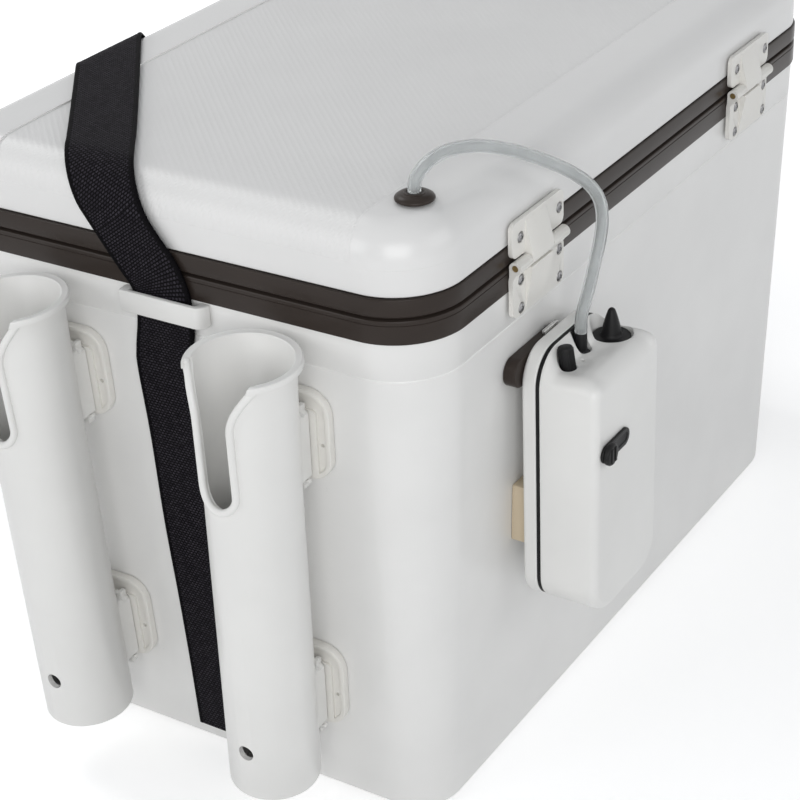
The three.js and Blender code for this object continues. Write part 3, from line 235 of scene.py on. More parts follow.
def make_camera():
    data = bpy.data.cameras.new("camera")
    data.lens = CAMERA_LENS
    data.sensor_width = SENSOR_WIDTH
    data.clip_start = 0.01
    data.clip_end = 100
    camera = link_object("camera", data)
    cos_e = math.cos(CAMERA_ELEVATION)
    back = Vector((
        math.sin(CAMERA_AZIMUTH) * cos_e,
        -math.cos(CAMERA_AZIMUTH) * cos_e,
        math.sin(CAMERA_ELEVATION),
    ))
    right = (-back).cross(Vector((0, 0, 1))).normalized()
    down = (-back).cross(right)
    cos_r, sin_r = math.cos(CAMERA_ROLL), math.sin(CAMERA_ROLL)
    turned_right = right * cos_r + down * sin_r
    turned_down = down * cos_r - right * sin_r
    rotation = Matrix((turned_right, -turned_down, back)).transposed()
    camera.matrix_world = Matrix.Translation(Vector(CAMERA_PLACE) * MM) @ rotation.to_4x4()
    bpy.context.scene.camera = camera


def area_lamp(name, place, size, power):
    data = bpy.data.lights.new(name, "AREA")
    data.shape = "RECTANGLE"
    data.size, data.size_y = size
    data.energy = power
    lamp = link_object(name, data)
    lamp.location = place
    aim = Vector(LAMP_TARGET) - Vector(place)
    lamp.rotation_euler = aim.to_track_quat("-Z", "Y").to_euler()


class Graph:
    """The shader nodes of a material or the world."""

    def __init__(self, owner):
        owner.use_nodes = True
        self.nodes, self.links = owner.node_tree.nodes, owner.node_tree.links
        self.nodes.clear()

    def put(self, node, inputs):
        """Sets inputs of a node to values, or links them to other nodes' outputs."""
        for name, value in inputs.items():
            if isinstance(value, bpy.types.NodeSocket):
                self.links.new(value, node.inputs[name])
            else:
                node.inputs[name].default_value = value

    def add(self, kind, inputs=None, **settings):
        node = self.nodes.new(f"ShaderNode{kind}")
        for name, value in settings.items():
            setattr(node, name, value)
        self.put(node, inputs or {})
        return node

    def math(self, operation, *values):
        node = self.add("Math", dict(enumerate(values)), operation=operation)
        return node.outputs["Value"]

    def spread(self, value, to, start=(0, 1)):
        """The value, with the two ends of start carried to the two ends of to."""
        node = self.add("MapRange", {
            "Value": value, "From Min": start[0], "From Max": start[1],
            "To Min": to[0], "To Max": to[1],
        })
        return node.outputs["Result"]

    def seen_directly(self):
        """1 for what the camera, a reflection or a clear piece shows, 0 for light."""
        rays = self.add("LightPath").outputs
        either = self.math("MAXIMUM", rays["Is Camera Ray"], rays["Is Glossy Ray"])
        return self.math("MAXIMUM", either, rays["Is Transmission Ray"])


def make_world():
    world = bpy.data.worlds.new("studio")
    bpy.context.scene.world = world
    graph = Graph(world)
    dim = graph.add("Background", {"Color": (*WORLD_LIGHT, 1), "Strength": WORLD_STRENGTH})
    white = graph.add("Background", {"Color": (1, 1, 1, 1), "Strength": 1})
    mix = graph.add("MixShader", {
        "Fac": graph.seen_directly(),
        1: dim.outputs["Background"], 2: white.outputs["Background"],
    })
    graph.add("OutputWorld", {"Surface": mix.outputs["Shader"]})


def make_floor():
    half = FLOOR_HALF
    mesh = bpy.data.meshes.new("floor")
    corners = [(-half, -half, 0), (half, -half, 0), (half, half, 0), (-half, half, 0)]
    mesh.from_pydata(corners, [], [(0, 1, 2, 3)])
    floor = link_object("floor", mesh)
    material = bpy.data.materials.new("floor")
    graph = Graph(material)
    place = graph.add("TexCoord").outputs["Object"]
    away = graph.add("VectorMath", {0: place}, operation="LENGTH").outputs["Value"]
    (near, dark), (far, bright) = FLOOR_LIFT
    lift = graph.spread(away, (dark, bright), (near, far))
    both = graph.add("AddShader", {
        0: graph.add("BsdfDiffuse", {"Color": (*FLOOR_WHITE, 1)}).outputs["BSDF"],
        1: graph.add("Emission", {
            "Strength": graph.math("MULTIPLY", graph.seen_directly(), lift),
        }).outputs["Emission"],
    })
    graph.add("OutputMaterial", {"Surface": both.outputs["Shader"]})
    mesh.materials.append(material)


# Mesh helpers. Points are millimetres until make_object writes them, and a piece gets its name
# when it is placed

def make_object(points, faces, material, sharp=35):
    mesh = bpy.data.meshes.new("mesh")
    mesh.from_pydata([Vector(point) * MM for point in points], [], faces)
    mesh.update()
    if material is not None:
        mesh.materials.append(material)
    return shade(link_object("piece", mesh), sharp)


def shade(obj, sharp=35):
    obj.data.shade_smooth()
    obj.data.set_sharp_from_angle(angle=math.radians(sharp))
    return obj


def bake_modifiers(obj):
    bpy.context.view_layer.update()
    depsgraph = bpy.context.evaluated_depsgraph_get()
    mesh = bpy.data.meshes.new_from_object(obj.evaluated_get(depsgraph))
    old = obj.data
    obj.modifiers.clear()
    obj.data = mesh
    bpy.data.meshes.remove(old)
    return obj


def combine(obj, others, operation):
    for other in others:
        modifier = obj.modifiers.new("combine", "BOOLEAN")
        modifier.operation = operation
        modifier.solver = "EXACT"
        modifier.object = other
    bake_modifiers(obj)
    discard(*others)
    return obj


def discard(*objects):
    for obj in objects:
        mesh = obj.data
        bpy.data.objects.remove(obj)
        bpy.data.meshes.remove(mesh)


def carve(obj, *others):
    return combine(obj, others, "DIFFERENCE")


def unite(obj, *others):
    return combine(obj, others, "UNION")


def soften(obj, width, segments=3, angle=40):
    modifier = obj.modifiers.new("bevel", "BEVEL")
    modifier.width = width * MM
    modifier.segments = segments
    modifier.limit_method = "ANGLE"
    modifier.angle_limit = math.radians(angle)
    bake_modifiers(obj)
    return shade(obj, 50)


def move(obj, matrix):
    obj.data.transform(matrix)
    if matrix.determinant() < 0:
        obj.data.flip_normals()
    return obj


def shift(x, y, z):
    return Matrix.Translation(Vector((x, y, z)) * MM)


def turned(degrees, axis):
    return Matrix.Rotation(math.radians(degrees), 4, axis)


# What points up points out of the rear wall, or into it
OUTWARDS = Matrix.Rotation(-math.pi / 2, 4, "X")
INWARDS = Matrix.Rotation(math.pi / 2, 4, "X")
# A flat shape comes to stand in the YZ plane, and its depth runs along X
SIDEWAYS = Matrix(((0, 0, 1, 0), (1, 0, 0, 0), (0, 1, 0, 0), (0, 0, 0, 1)))


def join_meshes(objects, sharp):
    """The first object, with the meshes of all, which share a material."""
    bm = bmesh.new()
    for obj in objects:
        bm.from_mesh(obj.data)
    bm.to_mesh(objects[0].data)
    bm.free()
    discard(*objects[1:])
    return shade(objects[0], sharp)


def quarter_turn(steps):
    """Cosine and sine at even steps from 0 to 90 degrees."""
    angles = [step / steps * math.pi / 2 for step in range(steps + 1)]
    return [(math.cos(angle), math.sin(angle)) for angle in angles]


def outline(half_width, half_height, radius, steps=16):
    points = []
    for quarter, (sx, sy) in enumerate(((1, 1), (-1, 1), (-1, -1), (1, -1))):
        for step in range(steps + 1):
            angle = (quarter + step / steps) * math.pi / 2
            points.append((
                sx * (half_width - radius) + radius * math.cos(angle),
                sy * (half_height - radius) + radius * math.sin(angle),
            ))
    return points


def loft(rings, material, closed=False, sharp=35):
    """A skin over rings of points; closed joins the last ring to the first."""
    count = len(rings[0])
    points = [point for ring in rings for point in ring]
    faces = []
    rows = len(rings) if closed else len(rings) - 1
    for row in range(rows):
        low, high = row * count, (row + 1) % len(rings) * count
        for i in range(count):
            after = (i + 1) % count
            faces.append((low + i, low + after, high + after, high + i))
    if not closed:
        faces.append(tuple(reversed(range(count))))
        last = (len(rings) - 1) * count
        faces.append(tuple(last + i for i in range(count)))
    return make_object(points, faces, material, sharp)


def box_ring(z, inset, inset_y=None, radius=CORNER_RADIUS):
    """The box's outline at a height, drawn in at its ends and, if that differs, its sides."""
    inset_y = inset if inset_y is None else inset_y
    corner = max(radius - inset, 1)
    ring = outline(LENGTH / 2 - inset, WIDTH / 2 - inset_y, corner, 20)
    return [(x, y, z) for x, y in ring]


def lathe(profile, material, sides=48, sharp=35):
    """Turned about Z. Profile points are (radius, height), from the axis back to the axis."""
    points, faces, rows = [], [], []
    for radius, z in profile:
        count = 1 if radius < 1e-6 else sides
        rows.append([len(points) + i for i in range(count)])
        for i in range(count):
            angle = 2 * math.pi * i / sides
            points.append((radius * math.cos(angle), radius * math.sin(angle), z))
    for low, high in zip(rows, rows[1:]):
        for i in range(sides):
            after = (i + 1) % sides
            if len(low) == 1:
                faces.append((low[0], high[after], high[i]))
            elif len(high) == 1:
                faces.append((low[i], low[after], high[0]))
            else:
                faces.append((low[i], low[after], high[after], high[i]))
    return make_object(points, faces, material, sharp)


def prism(shape, depth, material, sharp=35):
    """A flat shape of (x, y) points, pushed up by depth along Z."""
    count = len(shape)
    points = [(x, y, 0) for x, y in shape] + [(x, y, depth) for x, y in shape]
    faces = [(i, (i + 1) % count, count + (i + 1) % count, count + i) for i in range(count)]
    faces.append(tuple(reversed(range(count))))
    faces.append(tuple(range(count, 2 * count)))
    return make_object(points, faces, material, sharp)


def block(low, high, material):
    """A rectangular block between two corners."""
    shape = [(low[0], low[1]), (high[0], low[1]), (high[0], high[1]), (low[0], high[1])]
    obj = prism(shape, high[2] - low[2], material)
    return move(obj, shift(0, 0, low[2]))


def wall_plate(width, height, thickness, radius, material, steps=8):
    """A slab with rounded corners whose back is the XZ plane and which faces +Y."""
    obj = prism(outline(width / 2, height / 2, radius, steps), thickness, material)
    return move(obj, INWARDS @ shift(0, 0, -thickness))


def smooth_route(points, parts):
    """A Catmull-Rom curve through the points, with this many parts between two of them."""
    vectors = [Vector(p) for p in points]
    vectors = [2 * vectors[0] - vectors[1], *vectors, 2 * vectors[-1] - vectors[-2]]
    route = []
    for a, b, c, d in zip(vectors, vectors[1:], vectors[2:], vectors[3:]):
        for part in range(parts):
            t = part / parts
            route.append(0.5 * (
                2 * b + (c - a) * t + (2 * a - 5 * b + 4 * c - d) * t * t
                + (3 * b - a - 3 * c + d) * t ** 3
            ))
    route.append(vectors[-2])
    return route


def tangents(route):
    last = len(route) - 1
    return [
        (route[min(i + 1, last)] - route[max(i - 1, 0)]).normalized()
        for i in range(len(route))
    ]


def circles(route, radii, sides=24):
    """Rings of the given radii around a route, without twist."""
    directions = tangents(route)
    side = directions[0].orthogonal().normalized()
    rings = []
    for place, direction, radius in zip(route, directions, radii):
        side = (side - direction * side.dot(direction)).normalized()
        up = direction.cross(side)
        rings.append([
            place + (side * math.cos(a) + up * math.sin(a)) * radius
            for a in (2 * math.pi * i / sides for i in range(sides))
        ])
    return rings


def end_frame(sign):
    """Frame of an end wall: X along the wall, +Y out of it, Z up its slope."""
    foot = LENGTH / 2 - wall_inset(0)
    lean = math.atan(WALL_INSET_AT_BASE / WALL_TOP)
    turn = Matrix.Rotation(-sign * math.pi / 2, 4, "Z")
    return turn @ shift(0, foot, 0) @ Matrix.Rotation(-lean, 4, "X")


def along_wall(z):
    return z * math.hypot(WALL_TOP, WALL_INSET_AT_BASE) / WALL_TOP


def wall_inset(z):
    return BAND_STEP + WALL_INSET_AT_BASE * (WALL_TOP - z) / WALL_TOP


# Materials

class Look(Graph):
    """A material with one shader, on which textures are laid by the object's own place."""

    def __init__(self, name):
        self.material = bpy.data.materials.new(name)
        super().__init__(self.material)
        self.shader = self.add("BsdfPrincipled")
        self.add("OutputMaterial", {"Surface": self.shader.outputs["BSDF"]})
        self.place = self.add("TexCoord").outputs["Object"]

    def set(self, inputs):
        self.put(self.shader, inputs)

    def noise(self, scale, detail, roughness=0.5):
        inputs = {"Vector": self.place, "Scale": scale, "Detail": detail, "Roughness": roughness}
        return self.add("TexNoise", inputs).outputs["Fac"]

    def ramp(self, value, low, high):
        """From one colour to another over the middle of a noise."""
        node = self.add("ValToRGB", {"Fac": value})
        for element, position, color in zip(node.color_ramp.elements, (0.3, 0.7), (low, high)):
            element.position = position
            element.color = (*color, 1)
        return node.outputs["Color"]

    def bump(self, height, distance):
        node = self.add("Bump", {"Height": height, "Distance": distance, "Strength": 1})
        self.set({"Normal": node.outputs["Normal"]})


def scaled(color, factor):
    return tuple(min(channel * factor, 1) for channel in color)


def plastic(name, color, roughness, grain=900, depth=0.00003, specular=0.5, mottle=0.04):
    """Moulded plastic: faint cloudiness, uneven gloss and a fine skin."""
    look = Look(name)
    cloud, wear = look.noise(14, 4), look.noise(60, 5, 0.65)
    look.set({
        "Base Color": look.ramp(cloud, scaled(color, 1 - mottle), scaled(color, 1 + mottle / 2)),
        "Roughness": look.spread(wear, (roughness * 0.8, roughness * 1.25)),
        "Specular IOR Level": specular,
    })
    look.bump(look.noise(grain, 2), depth)
    return look.material


LID_WEAVE_PITCH = 2.4
# The weave starts this far inside the crease and above the foot of the lid's roll
LID_WEAVE_MARGIN = (1.5, 2)


def lid_plastic(name, color, roughness):
    """The lid's plastic: smooth borders, and a fine weave on the field between the creases."""
    look = Look(name)
    axes = look.add("SeparateXYZ", {"Vector": look.place}).outputs
    edge, foot = CREASE_Y - LID_WEAVE_MARGIN[0], LID_ROLL_Z + LID_WEAVE_MARGIN[1]
    inside = look.math("LESS_THAN", look.math("ABSOLUTE", axes["Y"]), edge * MM)
    above = look.math("GREATER_THAN", axes["Z"], foot * MM)
    field = look.math("MULTIPLY", inside, above)
    waves = []
    for slant, turn in (("ADD", 2 * math.pi), ("SUBTRACT", math.pi)):
        along = look.math(slant, axes["X"], axes["Y"])
        angle = look.math("MULTIPLY", along, turn / (LID_WEAVE_PITCH * MM))
        waves.append(look.math("SINE", angle))
    weave = look.math("MULTIPLY", look.math("MAXIMUM", *waves), field)
    skin = look.math("MULTIPLY", look.noise(900, 2), 0.3)
    look.bump(look.math("ADD", weave, skin), 0.00006)
    look.set({
        "Base Color": look.ramp(look.noise(14, 4), scaled(color, 0.97), scaled(color, 1.01)),
        "Roughness": look.math("ADD", look.math("MULTIPLY", field, 0.14), roughness),
    })
    return look.material


# Threads of the webbing, and the half-width inside its selvedges
THREAD_LENGTH = 2.3
THREAD_ROW = 1.7
THREAD_GAP = 0.5
SELVEDGE_START = 16.4


def webbing(name):
    """Black webbing: offset rows of floats and ribbed selvedges. UVs are metres."""
    look = Look(name)
    spot = look.add("UVMap", uv_map="ribbon").outputs["UV"]
    brick = look.add("TexBrick", {
        "Vector": spot, "Scale": 1, "Brick Width": THREAD_LENGTH * MM,
        "Row Height": THREAD_ROW * MM, "Mortar Size": THREAD_GAP * MM, "Mortar Smooth": 0.6,
        "Color1": (0.042, 0.038, 0.047, 1), "Color2": (0.018, 0.016, 0.021, 1),
        "Mortar": (0.0015, 0.0012, 0.0018, 1),
    }, offset=0.5)
    across = look.add("SeparateXYZ", {"Vector": spot}).outputs["X"]
    selvedge = look.math("GREATER_THAN", look.math("ABSOLUTE", across), SELVEDGE_START * MM)
    tone = look.add("Mix", data_type="RGBA")
    look.put(tone, {
        "Factor": selvedge, "A": brick.outputs["Color"], "B": (0.002, 0.0017, 0.0025, 1),
    })
    height = look.math("SUBTRACT", 1, brick.outputs["Fac"])
    fuzz = look.math("MULTIPLY", look.noise(2500, 3), 0.3)
    look.bump(look.math("ADD", height, fuzz), 0.0004)
    look.set({
        "Base Color": tone.outputs["Result"], "Roughness": 0.7, "Specular IOR Level": 0.06,
    })
    return look.material


def metal(name, color, roughness):
    look = Look(name)
    wear = look.noise(700, 4)
    look.set({
        "Base Color": look.ramp(look.noise(220, 4), scaled(color, 0.8), color),
        "Metallic": 1,
        "Roughness": look.spread(wear, (roughness * 0.7, roughness * 1.4)),
    })
    look.bump(wear, 0.00002)
    return look.material


def vinyl(name):
    """Milky clear tubing."""
    look = Look(name)
    haze = look.noise(120, 3)
    look.set({
        "Base Color": look.ramp(haze, (0.66, 0.68, 0.68), (0.76, 0.78, 0.78)),
        "Transmission Weight": 0.72, "Roughness": 0.22, "IOR": 1.3,
    })
    look.bump(haze, 0.00004)
    return look.material


WHITE = plastic("white_plastic", (0.8, 0.795, 0.775), 0.3)
WALL = plastic("wall_plastic", (0.8, 0.795, 0.78), 0.3)
LID = lid_plastic("lid_plastic", (0.78, 0.775, 0.765), 0.26)
WARM = plastic("warm_plastic", (0.77, 0.755, 0.715), 0.36)
BAND = plastic("brown_trim", (0.034, 0.026, 0.022), 0.3, specular=0.14, mottle=0.15)
FOAM = plastic("foam", (0.85, 0.84, 0.8), 0.9, grain=260, depth=0.0006)
BLACK = plastic("rubber", (0.006, 0.006, 0.0065), 0.45, 1400, 0.00006, 0.2, 0.2)
WEBBING = webbing("webbing")
HOSE = vinyl("hose")
BRASS = metal("pin_brass", (0.42, 0.3, 0.13), 0.42)
STEEL = metal("steel", (0.62, 0.62, 0.61), 0.25)
SCREW_STEEL = metal("screw_steel", (0.27, 0.27, 0.275), 0.3)
CELL = plastic("cell_wrap", (0.05, 0.06, 0.08), 0.3)
BOARD = plastic("board", (0.02, 0.14, 0.05), 0.45)
STONE = plastic("stone", (0.35, 0.34, 0.32), 0.95, grain=500, depth=0.0008, mottle=0.3)
BEIGE = plastic("beige_spacer", (0.6, 0.5, 0.36), 0.6)


def place_piece(obj, name, body, slot, *replaced):
    obj.name = obj.data.name = name
    if replaced:
        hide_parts(*replaced)
    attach(obj, body)


SIDES = (("right", 1), ("left", -1))


# Cords

def hollow_tube(name, route_points):
    """A tube with a bore, along a smooth route; also its middle line and length in metres."""
    route = smooth_route(route_points, 6)
    outer, bore = (circles(route, [radius] * len(route)) for radius in (TUBE_OUTSIDE, TUBE_BORE))
    tube = loft(outer + bore[::-1], HOSE, closed=True, sharp=60)
    tube.name = name
    length = sum((b - a).length for a, b in zip(route, route[1:]))
    return tube, [p * MM for p in route], length * MM


def add_cords():
    outer, path, length = hollow_tube("air_hose_outside", OUTER_TUBE_ROUTE[::-1])
    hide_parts("air_tube_outer")
    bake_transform(outer)
    inner, path, length = hollow_tube("air_hose_inside", INNER_TUBE_ROUTE)
    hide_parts("air_tube_inner")
    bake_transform(inner)


make_camera()
make_world()
make_floor()
add_cords()


# Box

def add_outer_shell():
    rings = []
    for cos, sin in quarter_turn(6):
        z = BASE_ROLL * (1 - cos)
        rings.append(box_ring(z, wall_inset(z) + BASE_ROLL * (1 - sin)))
    for z, depth in (
        (PARTING_Z - PARTING_HALF, 0), (PARTING_Z - PARTING_HALF / 4, PARTING_DEPTH),
        (PARTING_Z + PARTING_HALF / 4, PARTING_DEPTH), (PARTING_Z + PARTING_HALF, 0),
        (WALL_TOP, 0), (WALL_TOP, SKIN), (SKIN, SKIN),
    ):
        rings.append(box_ring(z, wall_inset(z) + depth))
    shell = loft(rings, WALL, sharp=30)
    place_piece(shell, "box_shell", "box", "wall_plastic", "outer_shell")


def well_inset(z):
    slope = (WELL_WALL_AT_FLOOR - WELL_WALL) / (SEAM_Z - WELL_FLOOR_Z)
    return WELL_WALL + slope * (SEAM_Z - z)


def add_liner():
    radius = WELL_CORNER_RADIUS + WELL_WALL
    top = SEAM_Z - BAND_LAND - GAP
    levels = [
        (WELL_FLOOR_Z - SKIN, well_inset(WELL_FLOOR_Z) - SKIN),
        (top - FLANGE_THICKNESS, well_inset(top) - SKIN), (top - FLANGE_THICKNESS, FLANGE_INSET),
        (top, FLANGE_INSET), (top, well_inset(top) - 1), (top - 1, well_inset(top)),
    ]
    for cos, sin in quarter_turn(6):
        z = WELL_FLOOR_Z + WELL_FLOOR_RADIUS * (1 - sin)
        levels.append((z, well_inset(z) + WELL_FLOOR_RADIUS * (1 - cos)))
    rings = [box_ring(z, inset, radius=radius) for z, inset in levels]
    liner = loft(rings, WHITE, sharp=40)
    place_piece(liner, "well_liner", "box", "white_plastic", "inner_liner")


def band(name, levels, body, node):
    """A closed ring round the box, from the heights and insets of its section."""
    rings = [box_ring(z, inset) for z, inset in levels]
    place_piece(loft(rings, BAND, closed=True, sharp=25), name, body, "brown_trim", node)


def add_bands():
    low, high = WALL_TOP + GAP, SEAM_Z
    land = high - BAND_LAND
    band("lower_band", [
        (low, 0.7), (low + 0.25, 0.2), (low + 0.8, 0),
        (high - 3.1, 0), (high - 2.9, 0.35), (high - 2.5, 0.35), (high - 2.3, 0),
        (high - 0.9, 0), (high - 0.35, 0.3), (high, 1.1),
        (high, WELL_WALL - 1), (high - 0.4, WELL_WALL - 0.3), (high - 1, WELL_WALL),
        (land, WELL_WALL), (land, BAND_SKIN), (low, BAND_SKIN),
    ], "box", "lower_rim")
    low, high = SEAM_Z + GAP, LID_WALL_BOTTOM - GAP
    step = low + 2.9
    band("upper_band", [
        (low, 2.6), (low + 0.3, 2.0), (low + 1.3, 1.7), (low + 1.5, 0.6), (low + 1.9, 0.1),
        (low + 2.4, 0), (high - 0.8, 0), (high - 0.25, 0.2), (high, 0.7), (high, BAND_SKIN),
        (step, BAND_SKIN), (step, BAND_SKIN + GASKET_STEP), (low, BAND_SKIN + GASKET_STEP),
    ], "lid", "upper_rim")


def lid_rings(drop, end_inset, bottom_rings):
    """The lid's roll and crown, lowered and drawn in at its ends, over rings of its underside."""
    rings = list(bottom_rings)
    roll_height = LID_TOP - LID_CROWN - drop - LID_ROLL_Z
    for cos, sin in quarter_turn(14):
        inward = LID_ROLL_RUN * (1 - cos)
        z = LID_ROLL_Z + roll_height * sin
        rings.append(box_ring(z, BAND_STEP + end_inset + inward, BAND_STEP + inward))
    for share in (0.35, 0.7, 1.0):
        inward = LID_ROLL_RUN + LID_CROWN_RUN * share
        z = LID_TOP - drop - LID_CROWN * (1 - share) ** 2
        radius = CORNER_RADIUS + LID_CROWN_CORNER * share
        rings.append(box_ring(z, BAND_STEP + inward, radius=radius))
    return rings


def side_of_crease(side):
    """A block that holds one of the lid's side borders, from below it and up to its crease."""
    low, high = 300, LID_TOP + 2
    shape = [(side * (CREASE_Y - 2.6), high), (side * WIDTH, high), (side * WIDTH, low),
             (side * (CREASE_Y + 2.2), low)]
    obj = move(prism(shape, 2 * LENGTH, None), shift(-LENGTH, 0, 0) @ SIDEWAYS)
    bm = bmesh.new()
    bm.from_mesh(obj.data)
    bmesh.ops.recalc_face_normals(bm, faces=bm.faces)
    bm.to_mesh(obj.data)
    bm.free()
    return obj


def add_lid():
    """A skin with a sunk field, and a smooth pad over each side border."""
    bottom = LID_WALL_BOTTOM
    inside = SKIN + BAND_STEP
    under = [
        box_ring(LID_TOP - 5, inside + 20),
        box_ring(LID_TOP - 12, inside + 6),
        box_ring(LID_ROLL_Z, inside + 1),
        box_ring(bottom, inside + 1),
        box_ring(bottom, BAND_STEP + PAD_RISE + 0.6, BAND_STEP + 0.6),
        box_ring(bottom + 0.6, BAND_STEP + PAD_RISE, BAND_STEP),
    ]
    skin = loft(lid_rings(PAD_RISE, PAD_RISE, under), LID, sharp=30)
    pad_bottom = [
        box_ring(LID_ROLL_Z - 6, BAND_STEP + 8, BAND_STEP + 8),
        box_ring(LID_ROLL_Z - 0.4, BAND_STEP + PAD_RISE + 0.25, BAND_STEP + 0.25),
    ]
    pads = []
    for side in (1, -1):
        pad = loft(lid_rings(0, 0, pad_bottom), LID, sharp=30)
        pads.append(combine(pad, [side_of_crease(side)], "INTERSECT"))
    unite(skin, *pads)
    place_piece(shade(skin, 22), "lid_shell_skin", "lid", "white_plastic", "lid_shell")


add_outer_shell()
add_liner()
add_bands()
add_lid()


# Hinges

def hinge_block(outline_yz, ends, material):
    """A profile in the YZ plane, measured from the pin, between two places along X."""
    obj = prism(outline_yz, ends[1] - ends[0], material)
    return move(obj, shift(ends[0], HINGE_Y, HINGE_Z) @ SIDEWAYS)


def arc(radius, start, end, steps=14, centre=(0, 0)):
    """Points of an arc between two angles in degrees."""
    points = []
    for step in range(steps + 1):
        angle = math.radians(start + (end - start) * step / steps)
        points.append((centre[0] + radius * math.cos(angle), centre[1] + radius * math.sin(angle)))
    return points


def circle(radius, sides):
    return arc(radius, 0, 360 - 360 / sides, sides - 1)


LEAF_FACE = WIDTH / 2 + GAP + LEAF_THICKNESS
LEAF_FRONT = LEAF_FACE - HINGE_Y
LEAF_BACK = LEAF_FRONT - LEAF_THICKNESS + 0.5


def leaf_plate(ends):
    low, high = ends
    plate = wall_plate(HINGE_WIDTH, high - low, LEAF_THICKNESS, 4.5, WARM)
    return move(plate, shift(0, WIDTH / 2 + GAP, (low + high) / 2))


def pin_bore():
    ends = (BARREL[0] + 1.6, BARREL[1] + 5)
    return hinge_block(circle(HINGE_PIN_RADIUS + 0.15, 24), ends, WARM)


def counterbores(rows):
    """Round recesses for the screw heads in a leaf."""
    tools = []
    for x in SCREW_COLUMNS:
        for z in rows:
            tool = prism(circle(SCREW_HEAD_RADIUS + 0.45, 24), 4, WARM)
            tools.append(move(tool, shift(x, LEAF_FACE - COUNTERBORE, z) @ OUTWARDS))
    return tools


def upper_leaf():
    low, high = (z - HINGE_Z for z in UPPER_LEAF)
    ramp = [(LEAF_BACK, high - 2), (LEAF_BACK, low + 1)]
    ramp += arc(KNUCKLE_RADIUS, 150, 375, 30)
    ramp += [(3.15, 3.6), (LEAF_FRONT + 0.1, high - 2)]
    leaf = leaf_plate(UPPER_LEAF)
    unite(leaf, hinge_block(ramp, TONGUE, WARM))
    carve(leaf, pin_bore(), *counterbores(SCREW_ROWS[:1]))
    return soften(leaf, 0.45, 3)


def lower_leaf():
    low, high = (z - HINGE_Z for z in LOWER_LEAF)
    leaf = leaf_plate(LOWER_LEAF)
    top = -KNUCKLE_RADIUS - RAMP_GAP
    ramp = [(LEAF_BACK, low + 2), (LEAF_FRONT + 0.1, low + 2), (2.9, top - 1), (2.5, top),
            (LEAF_BACK, top)]
    unite(leaf, hinge_block(ramp, TONGUE, WARM))
    for ends in ((BARREL[0], TONGUE[0] - 0.4), (TONGUE[1] + 0.4, BARREL[1])):
        stem = [(LEAF_BACK, high - 3), (LEAF_FRONT, high - 3)]
        stem += arc(KNUCKLE_RADIUS, -70, 190, 34)
        unite(leaf, hinge_block(stem, ends, WARM))
    carve(leaf, pin_bore(), *counterbores(SCREW_ROWS[1:]))
    return soften(leaf, 0.45, 3)


def screw(x, z):
    """A domed screw head sunk in a leaf, with a crossed recess."""
    radius = SCREW_HEAD_RADIUS
    head = lathe([
        (0, -1.2), (radius, -1.2), (radius, -0.5), (radius - 0.25, 0), (radius - 0.9, 0.5),
        (radius - 1.8, 0.85), (0, 1),
    ], SCREW_STEEL, sides=28)
    slots = []
    for angle in (20, 110):
        slot = block((-1.5, -0.3, 0.2), (1.5, 0.3, 2), SCREW_STEEL)
        slots.append(move(slot, turned(angle, "Z")))
    carve(head, *slots)
    return move(head, shift(x, LEAF_FACE, z) @ OUTWARDS)


def add_hinges():
    for side, sign in SIDES:
        middle = sign * HINGE_X
        levels = (("upper", "lid", upper_leaf, SCREW_ROWS[:1]),
                  ("lower", "box", lower_leaf, SCREW_ROWS[1:]))
        for level, body, leaf, _ in levels:
            name, node = f"hinge_leaf_{level}_{side}", f"hinge_{level}_leaf_{side}"
            place_piece(move(leaf(), shift(middle, 0, 0)), name, body, "warm_plastic", node)
        for level, body, _, rows in levels:
            heads = [screw(middle + x, z) for x in SCREW_COLUMNS for z in rows]
            place_piece(join_meshes(heads, 40), f"hinge_screws_{level}_{side}", body, "motor_steel")


# Rod holders

HOLDER_LENGTH = along_wall(HOLDER_TOP_Z) - HOLDER_RISE


def tube_radius(height):
    """Outside radius of the tube, which widens towards its top."""
    share = max(0, min(1, (height - HOLDER_LENGTH + TAPER_HEIGHT) / (TAPER_HEIGHT - RIM_HEIGHT)))
    return TUBE_RADIUS + (TUBE_TOP_RADIUS - TUBE_RADIUS) * share ** 1.5


def holder_tube():
    top = HOLDER_LENGTH
    under = top - RIM_HEIGHT
    profile = [(0, 0), (TUBE_RADIUS - 1.4, 0), (TUBE_RADIUS - 0.4, 0.4), (TUBE_RADIUS, 1.4)]
    for share in (0, 0.2, 0.4, 0.6, 0.8, 1):
        height = top - TAPER_HEIGHT + share * (TAPER_HEIGHT - RIM_HEIGHT - 1)
        profile.append((tube_radius(height), height))
    profile += [
        (TUBE_TOP_RADIUS + 0.3, under - 0.3), (TUBE_TOP_RADIUS + 1, under),
        (RIM_RADIUS - 0.7, under), (RIM_RADIUS - 0.2, under + 0.2), (RIM_RADIUS, under + 0.8),
        (RIM_RADIUS, top - 0.9), (RIM_RADIUS - 0.25, top - 0.3), (RIM_RADIUS - 0.9, top),
        (RIM_RADIUS - 1.6, top - 0.25), (RIM_BORE + 0.6, top - 0.35),
        (RIM_BORE, top - 0.9), (RIM_BORE - 0.6, top - 4), (RIM_BORE - 1.6, top - 14),
        (RIM_BORE - 2.6, top - 36), (TUBE_RADIUS - TUBE_WALL, top - TAPER_HEIGHT),
        (TUBE_RADIUS - TUBE_WALL, HOLDER_FLOOR + 3), (TUBE_RADIUS - TUBE_WALL - 3, HOLDER_FLOOR),
        (0, HOLDER_FLOOR),
    ]
    return lathe(profile, WHITE, sides=96)


